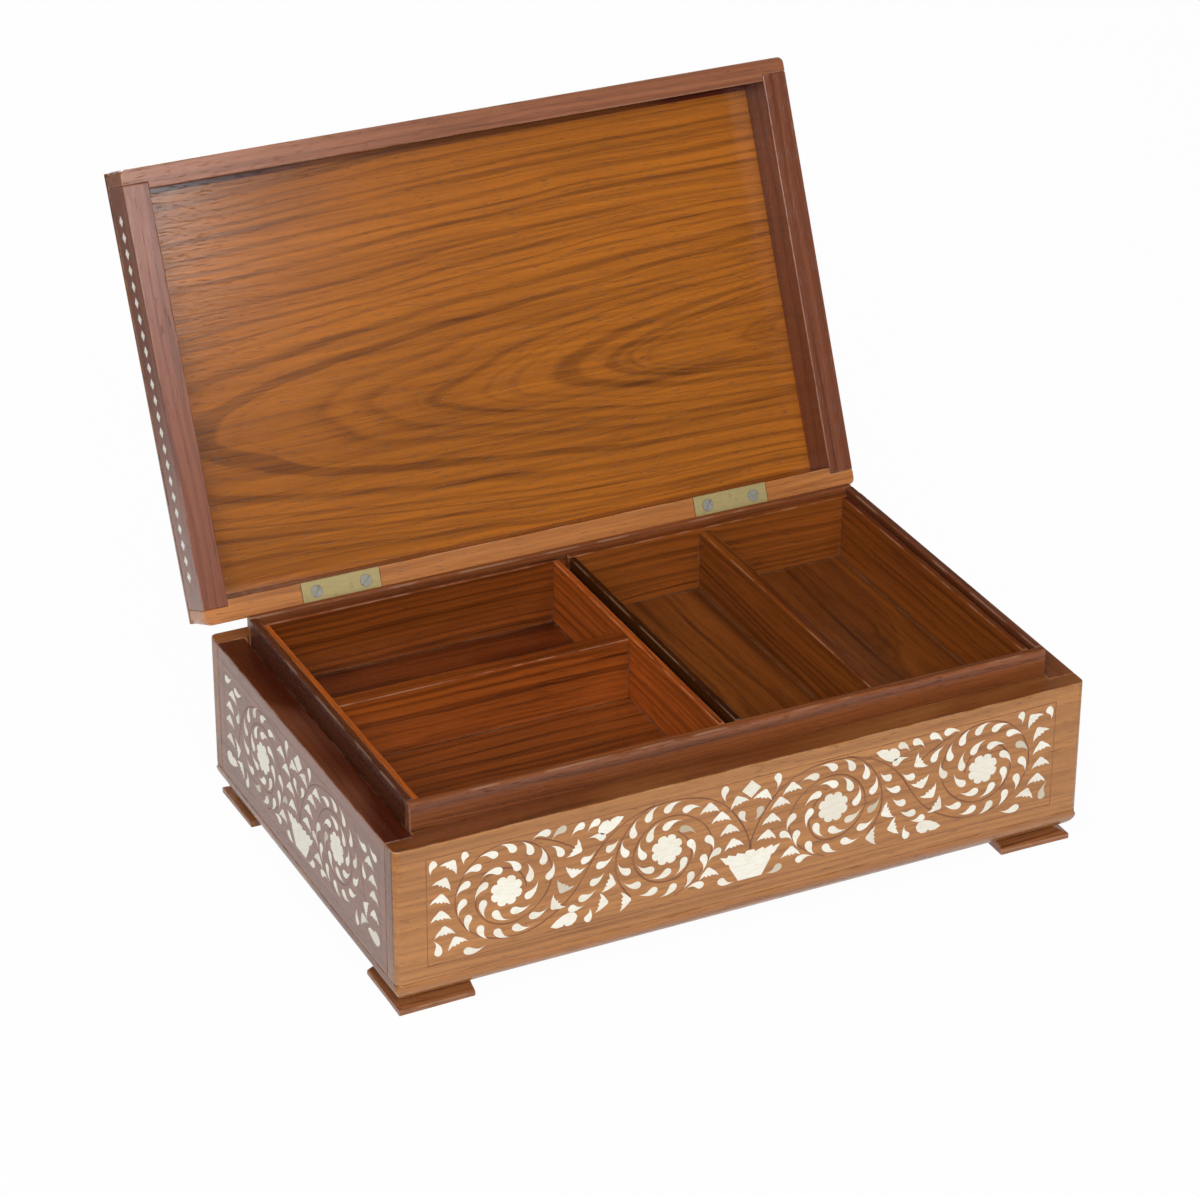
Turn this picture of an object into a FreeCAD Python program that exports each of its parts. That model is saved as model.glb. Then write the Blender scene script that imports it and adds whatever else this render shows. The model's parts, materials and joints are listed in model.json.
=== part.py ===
import FreeCAD, Part
import math
import os
import re
from types import SimpleNamespace

import Sketcher
from FreeCAD import Placement, Rotation, Vector

# A hardwood keepsake box with bone inlay, shown with its lid open, in millimetres.
# Box coordinates run from the front left corner of the walls: X right, Y back, Z up from the floor.
SIZES = {
    # walls and floor of the base
    "length": 330, "depth": 205, "wall_height": 65, "wall": 13, "floor_board": 10,
    "edge_round": 8.5, "corner_round": 3,
    # feet
    "foot_height": 6, "foot_run": 35, "foot_depth": 15.5, "foot_inset": 2,
    "foot_lip": 2.4, "foot_slope": 7.8,
    # liner, runners and trays
    "liner": 3.5, "liner_rise": 13, "runner_height": 6, "runner_depth": 4,
    "tray_wall": 3, "tray_floor": 3.5, "tray_depth": 31.5, "tray_drop": 2.5, "tray_clearance": 1,
    "tray_spacing": 5, "left_divider": 8, "right_divider": 5.5, "divider_drop": 1.5,
    # lid
    "rail_height": 21, "side_rail": 12, "long_rail": 10, "lid_board": 10, "rim_gap": 0.3,
    # hinges
    "hinge_length": 38, "hinge_inset": 47, "leaf": 1.5, "hinge_standoff": 2.3, "knuckle_radius": 2,
    "pin_radius": 1, "pin_clearance": 0.05, "knuckle_gap": 0.3,
    # screws
    "screw_head_radius": 2.9, "screw_shank_radius": 1.3, "screw_length": 11, "screw_head": 1.3,
    "screw_inset": 7, "screw_clearance": 0.05,
    # inlay
    "inlay_depth": 1.2, "panel_height": 51, "panel_drop": 8, "panel_end": 15,
    "side_panel_end": 16, "inner_rosette": 40, "outer_rosette": 114.5, "side_rosette": 41.5,
    "rosette_lift": 1.5, "rosette_radius": 7.3, "comma_radius": 1.7, "leaflet": 9.2, "bud": 12.5,
    "near_ring": 10.3, "near_ring_tip": 14.2, "far_ring": 18.7, "far_ring_tip": 22.8,
    "stud_half": 2.5, "stud_pitch": 7.3, "stud_height": 11.5, "stud_start": 22,
    # a little extra length for every cut
    "overrun": 1,
}
OPEN_ANGLE = 114
LAP_SHARE = 0.7

doc = FreeCAD.newDocument("keepsake_box")
sheet = doc.addObject("Spreadsheet::Sheet", "sizes")
for row, (alias, value) in enumerate(SIZES.items(), start=1):
    sheet.set(f"A{row}", alias)
    sheet.set(f"B{row}", str(value))
    sheet.setAlias(f"B{row}", alias)
doc.recompute()
size = SimpleNamespace(**{alias: float(sheet.get(alias)) for alias in SIZES})

# Heights that several pieces share.
floor_top = size.foot_height + size.floor_board
rim = floor_top + size.wall_height
lid_rim = rim + size.rim_gap
lid_board_bottom = lid_rim + size.rail_height
lid_top = lid_board_bottom + size.lid_board
liner_top = rim + size.liner_rise
tray_top = liner_top - size.tray_drop
tray_bottom = tray_top - size.tray_depth - size.tray_floor
# Points closer than this count as one.
touching = size.overrun / 10

# The hinge line, and the frame: the origin is under the middle of the opened box.
hinge_y = size.depth + size.hinge_standoff
hinge_z = rim + size.rim_gap / 2
opened = math.radians(OPEN_ANGLE)
edge_centre_y = size.edge_round - hinge_y
edge_centre_z = lid_top - size.edge_round - hinge_z
back_reach = hinge_y + edge_centre_y * math.cos(opened) + edge_centre_z * math.sin(opened) + size.edge_round
BASE = Placement(Vector(-size.length / 2, -back_reach / 2, 0), Rotation())
LID = BASE * Placement(Vector(), Rotation(Vector(1, 0, 0), -OPEN_ANGLE), Vector(0, hinge_y, hinge_z))

nodes = []


def bind(text):
    """Turns the size names in an expression into cells of the sheet."""
    names = "|".join(sorted(SIZES, key=len, reverse=True))
    return re.sub(rf"\b({names})\b", r"sizes.\1", text)


def keep(piece, label, place=None):
    """Names a finished piece and puts it in its place in the frame."""
    piece.Label = label
    if place is not None:
        piece.Placement = place
    nodes.append(piece)
    return piece


def box(name, corner, spans, place=Placement()):
    """A sawn board: its spans are bound to the sheet, its corner is in box coordinates."""
    board = doc.addObject("Part::Box", name)
    for side, span in zip(("Length", "Width", "Height"), spans):
        board.setExpression(side, bind(span))
    board.Placement = place * Placement(Vector(*corner), Rotation())
    return board


def cut(name, base, tools):
    """Cuts the tools from a piece, one after another."""
    for count, tool in enumerate(tools):
        step = doc.addObject("Part::Cut", f"{name}_cut_{count}")
        step.Base = base
        step.Tool = tool
        base = step
    return base


def shape(name, solid, place=Placement()):
    """A piece whose outline is worked out from the sheet by formula."""
    piece = doc.addObject("Part::Feature", name)
    piece.Shape = solid
    piece.Placement = place
    return piece


def plane_of(body, role):
    return next(plane for plane in body.Origin.OriginFeatures if plane.Role == role)


def sketch_on(body, name, role, lift="0"):
    """An empty sketch on one of the body's own origin planes, lifted along the plane's normal."""
    sketch = body.newObject("Sketcher::SketchObject", name)
    sketch.AttachmentSupport = [(plane_of(body, role), "")]
    sketch.MapMode = "FlatFace"
    if lift != "0":
        sketch.setExpression("AttachmentOffset.Base.z", bind(lift))
    return sketch


def rectangle(sketch, left, low, width, height):
    """A rectangle with its lower left corner and its two spans bound to the sheet."""
    corners = [Vector(1, 1, 0), Vector(2, 1, 0), Vector(2, 2, 0), Vector(1, 2, 0)]
    for start in range(4):
        sketch.addGeometry(Part.LineSegment(corners[start], corners[(start + 1) % 4]), False)
    for start in range(4):
        sketch.addConstraint(Sketcher.Constraint("Coincident", start, 2, (start + 1) % 4, 1))
    for line in (0, 2):
        sketch.addConstraint(Sketcher.Constraint("Horizontal", line))
    for line in (1, 3):
        sketch.addConstraint(Sketcher.Constraint("Vertical", line))
    driven = (("DistanceX", -1, 1, 0, 1, left, -2), ("DistanceY", -1, 1, 0, 1, low, -1),
              ("DistanceX", 0, 1, 0, 2, width, None), ("DistanceY", 1, 1, 1, 2, height, None))
    for kind, first, first_end, second, second_end, text, axis in driven:
        if text == "0":
            sketch.addConstraint(Sketcher.Constraint("PointOnObject", second, second_end, axis))
            continue
        number = sketch.addConstraint(Sketcher.Constraint(kind, first, first_end, second, second_end, 1))
        sketch.setExpression(f"Constraints[{number}]", bind(text))


def upright_edges(solid, corners):
    """Names of the upright edges that stand over the given corners of the plan."""
    found = []
    for number, edge in enumerate(solid.Edges, start=1):
        ends = [vertex.Point for vertex in edge.Vertexes]
        if len(ends) == 2 and math.hypot(ends[0].x - ends[1].x, ends[0].y - ends[1].y) < touching:
            if any(math.hypot(ends[0].x - x, ends[0].y - y) < touching for x, y in corners):
                found.append(f"Edge{number}")
    return found


def rebated_board(name, front, thickness, side, low, height):
    """A long board of the case: its ends are rebated so that a tongue laps over the side boards."""
    at_front = front == "0"
    body = doc.addObject("PartDesign::Body", name)
    plan = sketch_on(body, f"{name}_plan", "XY_Plane", low)
    rectangle(plan, "0", front, "length", thickness)
    pad = body.newObject("PartDesign::Pad", f"{name}_pad")
    pad.Profile = plan
    pad.setExpression("Length", bind(height))
    tongue = f"{thickness} * {LAP_SHARE}"
    for end, left in (("left", "0"), ("right", f"length - {side}")):
        rebate = sketch_on(body, f"{name}_{end}_rebate", "XY_Plane", low)
        rectangle(rebate, left, tongue if at_front else front, side, f"{thickness} * {1 - LAP_SHARE:.2f}")
        pocket = body.newObject("PartDesign::Pocket", f"{name}_{end}_pocket")
        pocket.Profile = rebate
        pocket.Type = "ThroughAll"
        pocket.Reversed = True
    doc.recompute()
    outer = 0 if at_front else size.depth
    sawn = body.Tip
    soften = body.newObject("PartDesign::Fillet", f"{name}_corners")
    soften.Base = (sawn, upright_edges(sawn.Shape, [(0, outer), (size.length, outer)]))
    soften.setExpression("Radius", bind("corner_round"))
    return body


def rounded_board(name, level, thickness, outer_z):
    """A board over the whole plan, its corners eased and its outer edges well rounded on one side."""
    blanks = []
    for part, radius in (("along", size.edge_round), ("across", size.edge_round), ("plan", size.corner_round)):
        blank = box(f"{name}_{part}_blank", (0, 0, level), ("length", "depth", thickness))
        doc.recompute()
        edges = []
        for number, edge in enumerate(blank.Shape.Edges, start=1):
            run = edge.Vertexes[1].Point - edge.Vertexes[0].Point
            on_edge = abs(edge.CenterOfMass.z - outer_z) < touching
            if (part == "plan" and abs(run.z) > 0) or (
                    on_edge and abs(run.x if part == "along" else run.y) > 0 and part != "plan"):
                edges.append((number, radius, radius))
        soft = doc.addObject("Part::Fillet", f"{name}_{part}")
        soft.Base = blank
        soft.Edges = edges
        blanks.append(soft)
    board = doc.addObject("Part::MultiCommon", f"{name}_board")
    board.Shapes = blanks
    return board


# Base case: rebated long walls, plain side walls between the tongues, and a rounded bottom board.
WALL_LOW = "foot_height + floor_board"
front_wall = rebated_board("front_wall_board", "0", "wall", "wall", WALL_LOW, "wall_height")
back_wall = rebated_board("back_wall_board", "depth - wall", "wall", "wall", WALL_LOW, "wall_height")
lap = size.wall * LAP_SHARE
SIDE_RUN = f"depth - 2 * wall * {LAP_SHARE}"
left_wall = box("left_wall_board", (0, lap, floor_top), ("wall", SIDE_RUN, "wall_height"))
right_wall = box("right_wall_board", (size.length - size.wall, lap, floor_top),
                 ("wall", SIDE_RUN, "wall_height"))
keep(rounded_board("floor", size.foot_height, "floor_board", size.foot_height), "bottom_board", BASE)

# Liner boards stand on the bottom board inside the walls and rise above the rim.
inside_length = "length - 2 * wall"
inside_depth = "depth - 2 * wall - 2 * liner"
LINER_SPAN = "wall_height + liner_rise"
for label, y in (("front_liner", size.wall), ("back_liner", size.depth - size.wall - size.liner)):
    board = box(f"{label}_board", (size.wall, y, floor_top), (inside_length, "liner", LINER_SPAN), BASE)
    keep(board, label)
for label, x in (("left_liner", size.wall), ("right_liner", size.length - size.wall - size.liner)):
    board = box(f"{label}_board", (x, size.wall + size.liner, floor_top),
                ("liner", inside_depth, LINER_SPAN), BASE)
    keep(board, label)

# Runners on the front and back liners carry the trays.
well = size.wall + size.liner
runner_y = {"front": well, "back": size.depth - well - size.runner_depth}
for side, y in runner_y.items():
    runner = box(f"{side}_runner", (well, y, tray_bottom - size.runner_height),
                 ("length - 2 * wall - 2 * liner", "runner_depth", "runner_height"), BASE)
    keep(runner, f"{side}_tray_runner")


# Trays: four walls on a floor, and one divider each.
tray_span = "((length - 2 * wall - 2 * liner - 2 * tray_clearance - tray_spacing) / 2)"
tray_length = (size.length - 2 * well - 2 * size.tray_clearance - size.tray_spacing) / 2
tray_y = well + size.tray_clearance
tray_width = size.depth - 2 * tray_y
WIDTH_SPAN = "(depth - 2 * wall - 2 * liner - 2 * tray_clearance)"
wall_low = tray_bottom + size.tray_floor
LEFT_DIVIDER_SHARE = 0.546
RIGHT_DIVIDER_SHARE = 0.48
left_tray_x = well + size.tray_clearance
for side, x in (("left", left_tray_x), ("right", size.length - left_tray_x - tray_length)):
    across = f"{WIDTH_SPAN} - 2 * tray_wall"
    along = f"{tray_span} - 2 * tray_wall"
    keep(box(f"{side}_tray_base", (x, tray_y, tray_bottom), (tray_span, WIDTH_SPAN, "tray_floor"), BASE),
         f"{side}_tray_floor")
    for end, y in (("front", tray_y), ("back", tray_y + tray_width - size.tray_wall)):
        wall = box(f"{side}_tray_{end}", (x, y, wall_low), (tray_span, "tray_wall", "tray_depth"), BASE)
        keep(wall, f"{side}_tray_{end}_wall")
    for end, wall_x in (("outer", x if side == "left" else x + tray_length - size.tray_wall),
                        ("inner", x if side == "right" else x + tray_length - size.tray_wall)):
        wall = box(f"{side}_tray_{end}", (wall_x, tray_y + size.tray_wall, wall_low),
                   ("tray_wall", across, "tray_depth"), BASE)
        keep(wall, f"{side}_tray_{end}_wall")
    inner_x, inner_y = x + size.tray_wall, tray_y + size.tray_wall
    if side == "left":
        y = tray_y + LEFT_DIVIDER_SHARE * tray_width - size.left_divider / 2
        divider = box("left_divider_board", (inner_x, y, wall_low),
                      (along, "left_divider", "tray_depth - divider_drop"), BASE)
    else:
        divider_x = x + RIGHT_DIVIDER_SHARE * tray_length - size.right_divider / 2
        divider = box("right_divider_board", (divider_x, inner_y, wall_low),
                      ("right_divider", across, "tray_depth - divider_drop"), BASE)
    keep(divider, f"{side}_tray_divider")


# Feet: two mitred mouldings under each corner, with a low lip and a slope up to the case.
def foot_moulding(mirrored):
    """One moulding along the front from the left corner, mitred there at 45 degrees."""
    profile = [Vector(0, 0, 0), Vector(0, 0, size.foot_lip), Vector(0, size.foot_slope, size.foot_height),
               Vector(0, size.foot_depth, size.foot_height), Vector(0, size.foot_depth, 0), Vector(0, 0, 0)]
    strip = Part.Face(Part.makePolygon(profile)).extrude(Vector(size.foot_run, 0, 0))
    reach = size.foot_depth + size.overrun
    waste = Part.makePolygon([Vector(0, 0, 0), Vector(reach, reach, 0), Vector(-size.overrun, reach, 0),
                              Vector(-size.overrun, -size.overrun, 0), Vector(0, 0, 0)])
    solid = strip.cut(Part.Face(waste).extrude(Vector(0, 0, size.foot_height)))
    return solid.mirror(Vector(), Vector(1, -1, 0)) if mirrored else solid


foot_forms = {"long": foot_moulding(False), "short": foot_moulding(True)}
foot_corners = {"front_left": (0, 0, 0), "front_right": (90, size.length, 0),
                "back_right": (180, size.length, size.depth), "back_left": (270, 0, size.depth)}
for corner, (turn, x, y) in foot_corners.items():
    inset = Placement(Vector(size.foot_inset, size.foot_inset, 0), Rotation())
    spot = Placement(Vector(x, y, 0), Rotation(Vector(0, 0, 1), turn)) * inset
    for form, solid in foot_forms.items():
        lies_along = "front_back" if (form == "long") == (turn in (0, 180)) else "side"
        name = {"front_back": corner.split("_")[0], "side": corner.split("_")[1]}[lies_along]
        keep(shape(f"{corner}_{name}_foot_form", solid, BASE * spot), f"{corner}_foot_{name}_moulding")

# Lid: rails lapped at the corners like the walls, under a rounded top board.
RAIL_LOW = "foot_height + floor_board + wall_height + rim_gap"
front_rail = rebated_board("front_rail_board", "0", "long_rail", "side_rail", RAIL_LOW, "rail_height")
back_rail = rebated_board("back_rail_board", "depth - long_rail", "long_rail", "side_rail", RAIL_LOW,
                          "rail_height")
keep(front_rail, "lid_front_rail", LID)
rail_lap = size.long_rail * LAP_SHARE
RAIL_RUN = f"depth - 2 * long_rail * {LAP_SHARE}"
left_rail = box("left_rail_board", (0, rail_lap, lid_rim), ("side_rail", RAIL_RUN, "rail_height"))
right_rail = box("right_rail_board", (size.length - size.side_rail, rail_lap, lid_rim),
                 ("side_rail", RAIL_RUN, "rail_height"))
keep(rounded_board("lid", lid_board_bottom, "lid_board", lid_top), "lid_top_board", LID)


# Screws: countersunk, each turned from one profile.
def screw_solid(clearance):
    """A screw standing head up with its head at the origin, or with clearance the hole that it sits in."""
    head = size.screw_head_radius + clearance
    shank = size.screw_shank_radius + clearance
    end = size.screw_length + clearance
    profile = [Vector(0, 0, 0), Vector(head, 0, 0), Vector(shank, 0, -size.screw_head),
               Vector(shank, 0, -end), Vector(0, 0, -end), Vector(0, 0, 0)]
    return Part.Face(Part.makePolygon(profile)).revolve(Vector(), Vector(0, 0, 1), 360)


# Butt hinges: each leaf is a plate let in flush, with its share of the three rolled knuckles.
KNUCKLES = 3
knuckle_run = (size.hinge_length - (KNUCKLES - 1) * size.knuckle_gap) / KNUCKLES
KNUCKLE_SPAN = f"(hinge_length - {KNUCKLES - 1} * knuckle_gap) / {KNUCKLES}"
KNUCKLE_PITCH = knuckle_run + size.knuckle_gap
hinge_x = {"left": size.hinge_inset, "right": size.length - size.hinge_inset - size.hinge_length}
leaf_y = size.depth - size.long_rail


def rod(name, x, radius, span):
    """A round bar along the hinge line."""
    bar = doc.addObject("Part::Cylinder", name)
    bar.setExpression("Radius", bind(radius))
    bar.setExpression("Height", bind(span))
    bar.Placement = Placement(Vector(x, hinge_y, hinge_z), Rotation(Vector(0, 1, 0), 90))
    return bar


def leaf(name, x, level, first_knuckle, screw_holes):
    """One leaf: the plate, its knuckles with the webs that join them, and the bore and screw holes."""
    joined = [box(f"{name}_plate", (x, leaf_y, level), ("hinge_length", "long_rail", "leaf"))]
    for number in range(first_knuckle, KNUCKLES, 2):
        start = x + number * KNUCKLE_PITCH
        joined.append(box(f"{name}_web_{number}", (start, size.depth, level),
                          (KNUCKLE_SPAN, "hinge_standoff", "leaf")))
        joined.append(rod(f"{name}_knuckle_{number}", start, "knuckle_radius", KNUCKLE_SPAN))
    whole = doc.addObject("Part::MultiFuse", f"{name}_whole")
    whole.Shapes = joined
    bore = rod(f"{name}_bore", x, "pin_radius + pin_clearance", "hinge_length")
    return cut(name, whole, [bore, screw_holes])


screw_y = size.depth - size.long_rail / 2
screw_offsets = (size.screw_inset, size.hinge_length - size.screw_inset)
screw_x = [x + offset for x in hinge_x.values() for offset in screw_offsets]
downward = Rotation()
upward = Rotation(Vector(1, 0, 0), 180)
screw_sets = {}
for body, level, turn, place in (("base", rim, downward, BASE), ("lid", lid_rim, upward, LID)):
    spots = [Placement(Vector(x, screw_y, level), turn) for x in screw_x]
    screws = [screw_solid(0).transformed(spot.toMatrix()) for spot in spots]
    holes = [screw_solid(size.screw_clearance).transformed(spot.toMatrix()) for spot in spots]
    screw_sets[body] = Part.makeCompound(holes)
    keep(shape(f"{body}_screws", Part.makeCompound(screws), place), f"{body}_hinge_screws")
base_holes = shape("base_screw_holes", screw_sets["base"])
lid_holes = shape("lid_screw_holes", screw_sets["lid"])

base_leaf_beds = []
lid_leaf_beds = []
for side, x in hinge_x.items():
    base_level = rim - size.leaf
    keep(leaf(f"{side}_base_plate", x, base_level, 0, base_holes), f"{side}_hinge_base_leaf", BASE)
    keep(leaf(f"{side}_lid_plate", x, lid_rim, 1, lid_holes), f"{side}_hinge_lid_leaf", LID)
    pin = rod(f"{side}_pin", x, "pin_radius", "hinge_length")
    keep(pin, f"{side}_hinge_pin", BASE * pin.Placement)
    base_leaf_beds.append(box(f"{side}_base_bed", (x, leaf_y, base_level),
                              ("hinge_length", "long_rail + overrun", "leaf + overrun")))
    lid_leaf_beds.append(box(f"{side}_lid_bed", (x, leaf_y - size.overrun, lid_rim - size.overrun),
                             ("hinge_length", "long_rail + 2 * overrun", "leaf + overrun")))
keep(cut("back_wall", back_wall, base_leaf_beds + [base_holes]), "back_wall", BASE)
keep(cut("back_rail", back_rail, lid_leaf_beds + [lid_holes]), "lid_back_rail", LID)


# Bone inlay. Every outline lies in its panel's own plane, U to the right and V up from the middle.
def comma(head, tip, bend):
    """A leaf with a blunt head, a pointed tip and one full cheek that lies nearer the tip."""
    axis = tip - head
    across = Vector(-axis.y, axis.x, 0).normalize() * (bend * size.comma_radius)
    back = head - Vector(axis).normalize() * size.comma_radius
    return [tip, head + across, back, head + axis * CHEEK_SHARE - across]


# How far along a leaf its full cheek lies, and the leaflet and bud outlines in shares of their lengths.
CHEEK_SHARE = 0.25
LEAFLET_SHARES = ((-0.5, -0.14), (0, 0.34), (0.5, -0.2), (0, -0.14))
BUD_SHARES = ((0.5, 0), (0.12, 0.22), (-0.3, 0.25), (-0.5, 0), (-0.3, -0.25), (0.12, -0.22))


def turned(outline_shares, length, middle, degrees):
    """An outline of shares, scaled to a length, turned and moved to its place."""
    way = Rotation(Vector(0, 0, 1), degrees)
    return [middle + way.multVec(Vector(u * length, v * length, 0)) for u, v in outline_shares]


def rosette(middle):
    """A flower with eight blunt petals."""
    points = []
    for petal in range(PETALS):
        for offset, share in ((-0.5, NOTCH_SHARE), (-0.2, 1), (0.2, 1)):
            way = 2 * math.pi * (petal + offset) / PETALS
            points.append(middle + Vector(math.cos(way), math.sin(way), 0) * size.rosette_radius * share)
    return points


PETALS = 8
NOTCH_SHARE = 0.78


def ring(middle, radius, tip_radius, count, start, step, lead):
    """Commas that swirl round a rosette."""
    outlines = []
    for number in range(count):
        head_way = math.radians(start + number * step)
        tip_way = head_way + math.radians(lead)
        head = middle + Vector(math.cos(head_way), math.sin(head_way), 0) * radius
        tip = middle + Vector(math.cos(tip_way), math.sin(tip_way), 0) * tip_radius
        outlines.append(comma(head, tip, 1 if lead > 0 else -1))
    return outlines


def swirl(middle, sense, near_start):
    """A rosette with its near ring of commas."""
    near = ring(middle, size.near_ring, size.near_ring_tip, PETALS, near_start, 360 / PETALS, sense * 31)
    return [rosette(middle)] + near


def far_swirl(middle, sense, start, count):
    """The far ring of commas, open where the stem runs in."""
    step = 360 / (count + STEM_GAP_SHARE)
    return ring(middle, size.far_ring, size.far_ring_tip, count, start, step, sense * 16)


STEM_GAP_SHARE = 1.3


def spray(anchor_u, commas_shares, leaflets_shares, buds_shares):
    """Loose commas, leaflets and buds, placed from an anchor in shares of half the panel's height."""
    reach = size.panel_height / 2
    outlines = []
    for head_u, head_v, tip_u, tip_v in commas_shares:
        head = Vector(anchor_u + head_u * reach, head_v * reach, 0)
        tip = Vector(anchor_u + tip_u * reach, tip_v * reach, 0)
        outlines.append(comma(head, tip, 1))
    for form_shares, length, places in ((LEAFLET_SHARES, size.leaflet, leaflets_shares),
                                        (BUD_SHARES, size.bud, buds_shares)):
        for u, v, degrees in places:
            middle = Vector(anchor_u + u * reach, v * reach, 0)
            outlines.append(turned(form_shares, length, middle, degrees))
    return outlines


# Left half of each group; the right half is its mirror image.
CENTRE_COMMAS_SHARES = ((-0.46, 0.92, -0.46, 0.67), (-0.14, 0.38, -0.04, 0.18), (-0.6, -0.26, -0.8, -0.42),
                        (-0.52, -0.82, -0.29, -0.91), (-0.95, -0.84, -1.2, -0.81))
CENTRE_LEAFLETS_SHARES = ((-0.24, 0.64, 20), (-0.78, 0.64, 0), (-0.56, 0.41, 0), (-0.4, 0.13, 5),
                          (-0.32, -0.17, 10), (-0.78, -0.62, 5))
BETWEEN_COMMAS_SHARES = ((0.39, 0.39, 0.57, 0.51), (0.22, 0.12, 0.47, 0.22), (0.1, -0.18, 0.31, -0.06),
                         (-0.1, -0.43, 0.16, -0.35), (-0.27, -0.58, -0.05, -0.6), (-0.02, -0.87, 0.04, -0.67),
                         (-0.06, 0.29, 0.14, 0.39), (0.25, 0.59, 0, 0.65), (-0.1, 0.9, -0.29, 0.77),
                         (0.18, 0.9, 0, 0.77), (-0.73, 0.93, -1, 0.9), (-0.43, 0.93, -0.65, 0.78),
                         (-0.51, 0.49, -0.69, 0.71))
BETWEEN_LEAFLETS_SHARES = ((-0.24, 0.09, 165), (-0.43, -0.16, 150), (-0.57, -0.45, 130), (-0.2, 0.51, -120),
                           (0.27, -0.65, -100), (0.69, -0.73, -90), (0.41, -0.31, -110))
BETWEEN_BUDS_SHARES = ((0.43, 0.82, 20), (-0.43, -0.82, 190))
END_COMMAS_SHARES = ((0.13, 0.88, 0.06, 0.69), (0.69, 0.91, 0.65, 0.75), (0.69, -0.87, 1.02, -0.875),
                     (0.13, -0.8, 0.06, -0.53))
END_LEAFLETS_SHARES = ((0.41, 0.8, -35), (0.27, 0.5, -25), (0.22, 0.2, -8), (0.22, -0.12, 0), (0.28, -0.43, 5),
                       (0.49, -0.68, 20))
URN_SHARES = ((-0.57, -0.38), (0.57, -0.38), (0.46, -0.54), (0.22, -0.92), (-0.22, -0.92), (-0.46, -0.54))
DIAMOND_SHARES = ((-0.17, 0.82), (0, 0.99), (0.17, 0.82), (0, 0.65))


def mirrored(outlines):
    return outlines + [[Vector(-point.x, point.y, 0) for point in outline] for outline in outlines]


def centre_outlines(rosette_u, half_run):
    """What every panel has: two rosettes, an urn between them under a diamond, and leaflets."""
    reach = size.panel_height / 2
    half = swirl(Vector(-rosette_u, size.rosette_lift, 0), -1, 0)
    half += spray(0, (), CENTRE_LEAFLETS_SHARES, ())
    half += spray(-half_run, (), END_LEAFLETS_SHARES, ())
    return mirrored(half) + [turned(outline, reach, Vector(), 0) for outline in (URN_SHARES, DIAMOND_SHARES)]


def front_outlines(half_run):
    """The front panel: the centre, a second pair of rosettes, and commas all round."""
    outer = Vector(-size.outer_rosette, size.rosette_lift, 0)
    half = swirl(outer, 1, 20) + far_swirl(outer, 1, 7, 13)
    half += far_swirl(Vector(-size.inner_rosette, size.rosette_lift, 0), -1, 61, 12)
    half += spray(0, CENTRE_COMMAS_SHARES, (), ())
    half += spray(-half_run, END_COMMAS_SHARES, (), ())
    between = -(size.outer_rosette + size.inner_rosette) / 2
    half += spray(between, BETWEEN_COMMAS_SHARES, BETWEEN_LEAFLETS_SHARES, BETWEEN_BUDS_SHARES)
    return mirrored(half) + centre_outlines(size.inner_rosette, half_run)


def inlay(outlines):
    """Bone pieces with their faces flush at the panel's plane."""
    pieces = []
    for outline in outlines:
        face = Part.Face(Part.makePolygon(outline + outline[:1]))
        pieces.append(face.extrude(Vector(0, 0, -size.inlay_depth)))
    return Part.makeCompound(pieces)


facing_front = Rotation(Vector(1, 0, 0), 90)
facing_left = Rotation(Vector(0, 0, 1), -90) * facing_front
facing_right = Rotation(Vector(0, 0, 1), 90) * facing_front
panel_z = rim - size.panel_drop - size.panel_height / 2
front_set = inlay(front_outlines(size.length / 2 - size.panel_end))
side_set = inlay(centre_outlines(size.side_rosette, size.depth / 2 - size.side_panel_end))
stud_count = int((size.depth - 2 * size.stud_start) / size.stud_pitch) + 1
stud_corners = ((-1, 0), (0, -1), (1, 0), (0, 1))
stud_run = (stud_count - 1) * size.stud_pitch
studs = [turned(stud_corners, size.stud_half, Vector(number * size.stud_pitch - stud_run / 2, 0, 0), 0)
         for number in range(stud_count)]
stud_set = inlay(studs)

stud_z = lid_rim + size.stud_height
middle_y = size.depth / 2
inlaid = (
    ("front_wall", front_wall, "front_inlay", front_set, (size.length / 2, 0, panel_z), facing_front, BASE),
    ("left_wall", left_wall, "left_inlay", side_set, (0, middle_y, panel_z), facing_left, BASE),
    ("right_wall", right_wall, "right_inlay", side_set, (size.length, middle_y, panel_z), facing_right, BASE),
    ("lid_left_rail", left_rail, "lid_left_diamonds", stud_set, (0, middle_y, stud_z), facing_left, LID),
    ("lid_right_rail", right_rail, "lid_right_diamonds", stud_set, (size.length, middle_y, stud_z),
     facing_right, LID),
)
for board_label, board, label, outlines, middle, facing, place in inlaid:
    seat = Placement(Vector(*middle), facing)
    bed = shape(f"{label}_bed", outlines.copy(), seat)
    keep(cut(board_label, board, [bed]), board_label, place)
    keep(shape(f"{label}_bone", outlines.copy(), place * seat), label)

# Every piece is sound before anything is written.
doc.recompute()
for thing in doc.Objects:
    if {"Invalid", "Error"} & set(thing.State):
        raise RuntimeError(f"{thing.Label} failed: {thing.State}")
for piece in nodes:
    if piece.Shape.isNull() or not piece.Shape.isValid():
        raise RuntimeError(f"{piece.Label} has no sound shape")
os.makedirs("parts", exist_ok=True)
for piece in nodes:
    piece.Shape.exportStep(f"parts/{piece.Label}.step")
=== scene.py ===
import json
import math
import random

import bmesh
import bpy
from mathutils import Euler, Matrix, Vector


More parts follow.
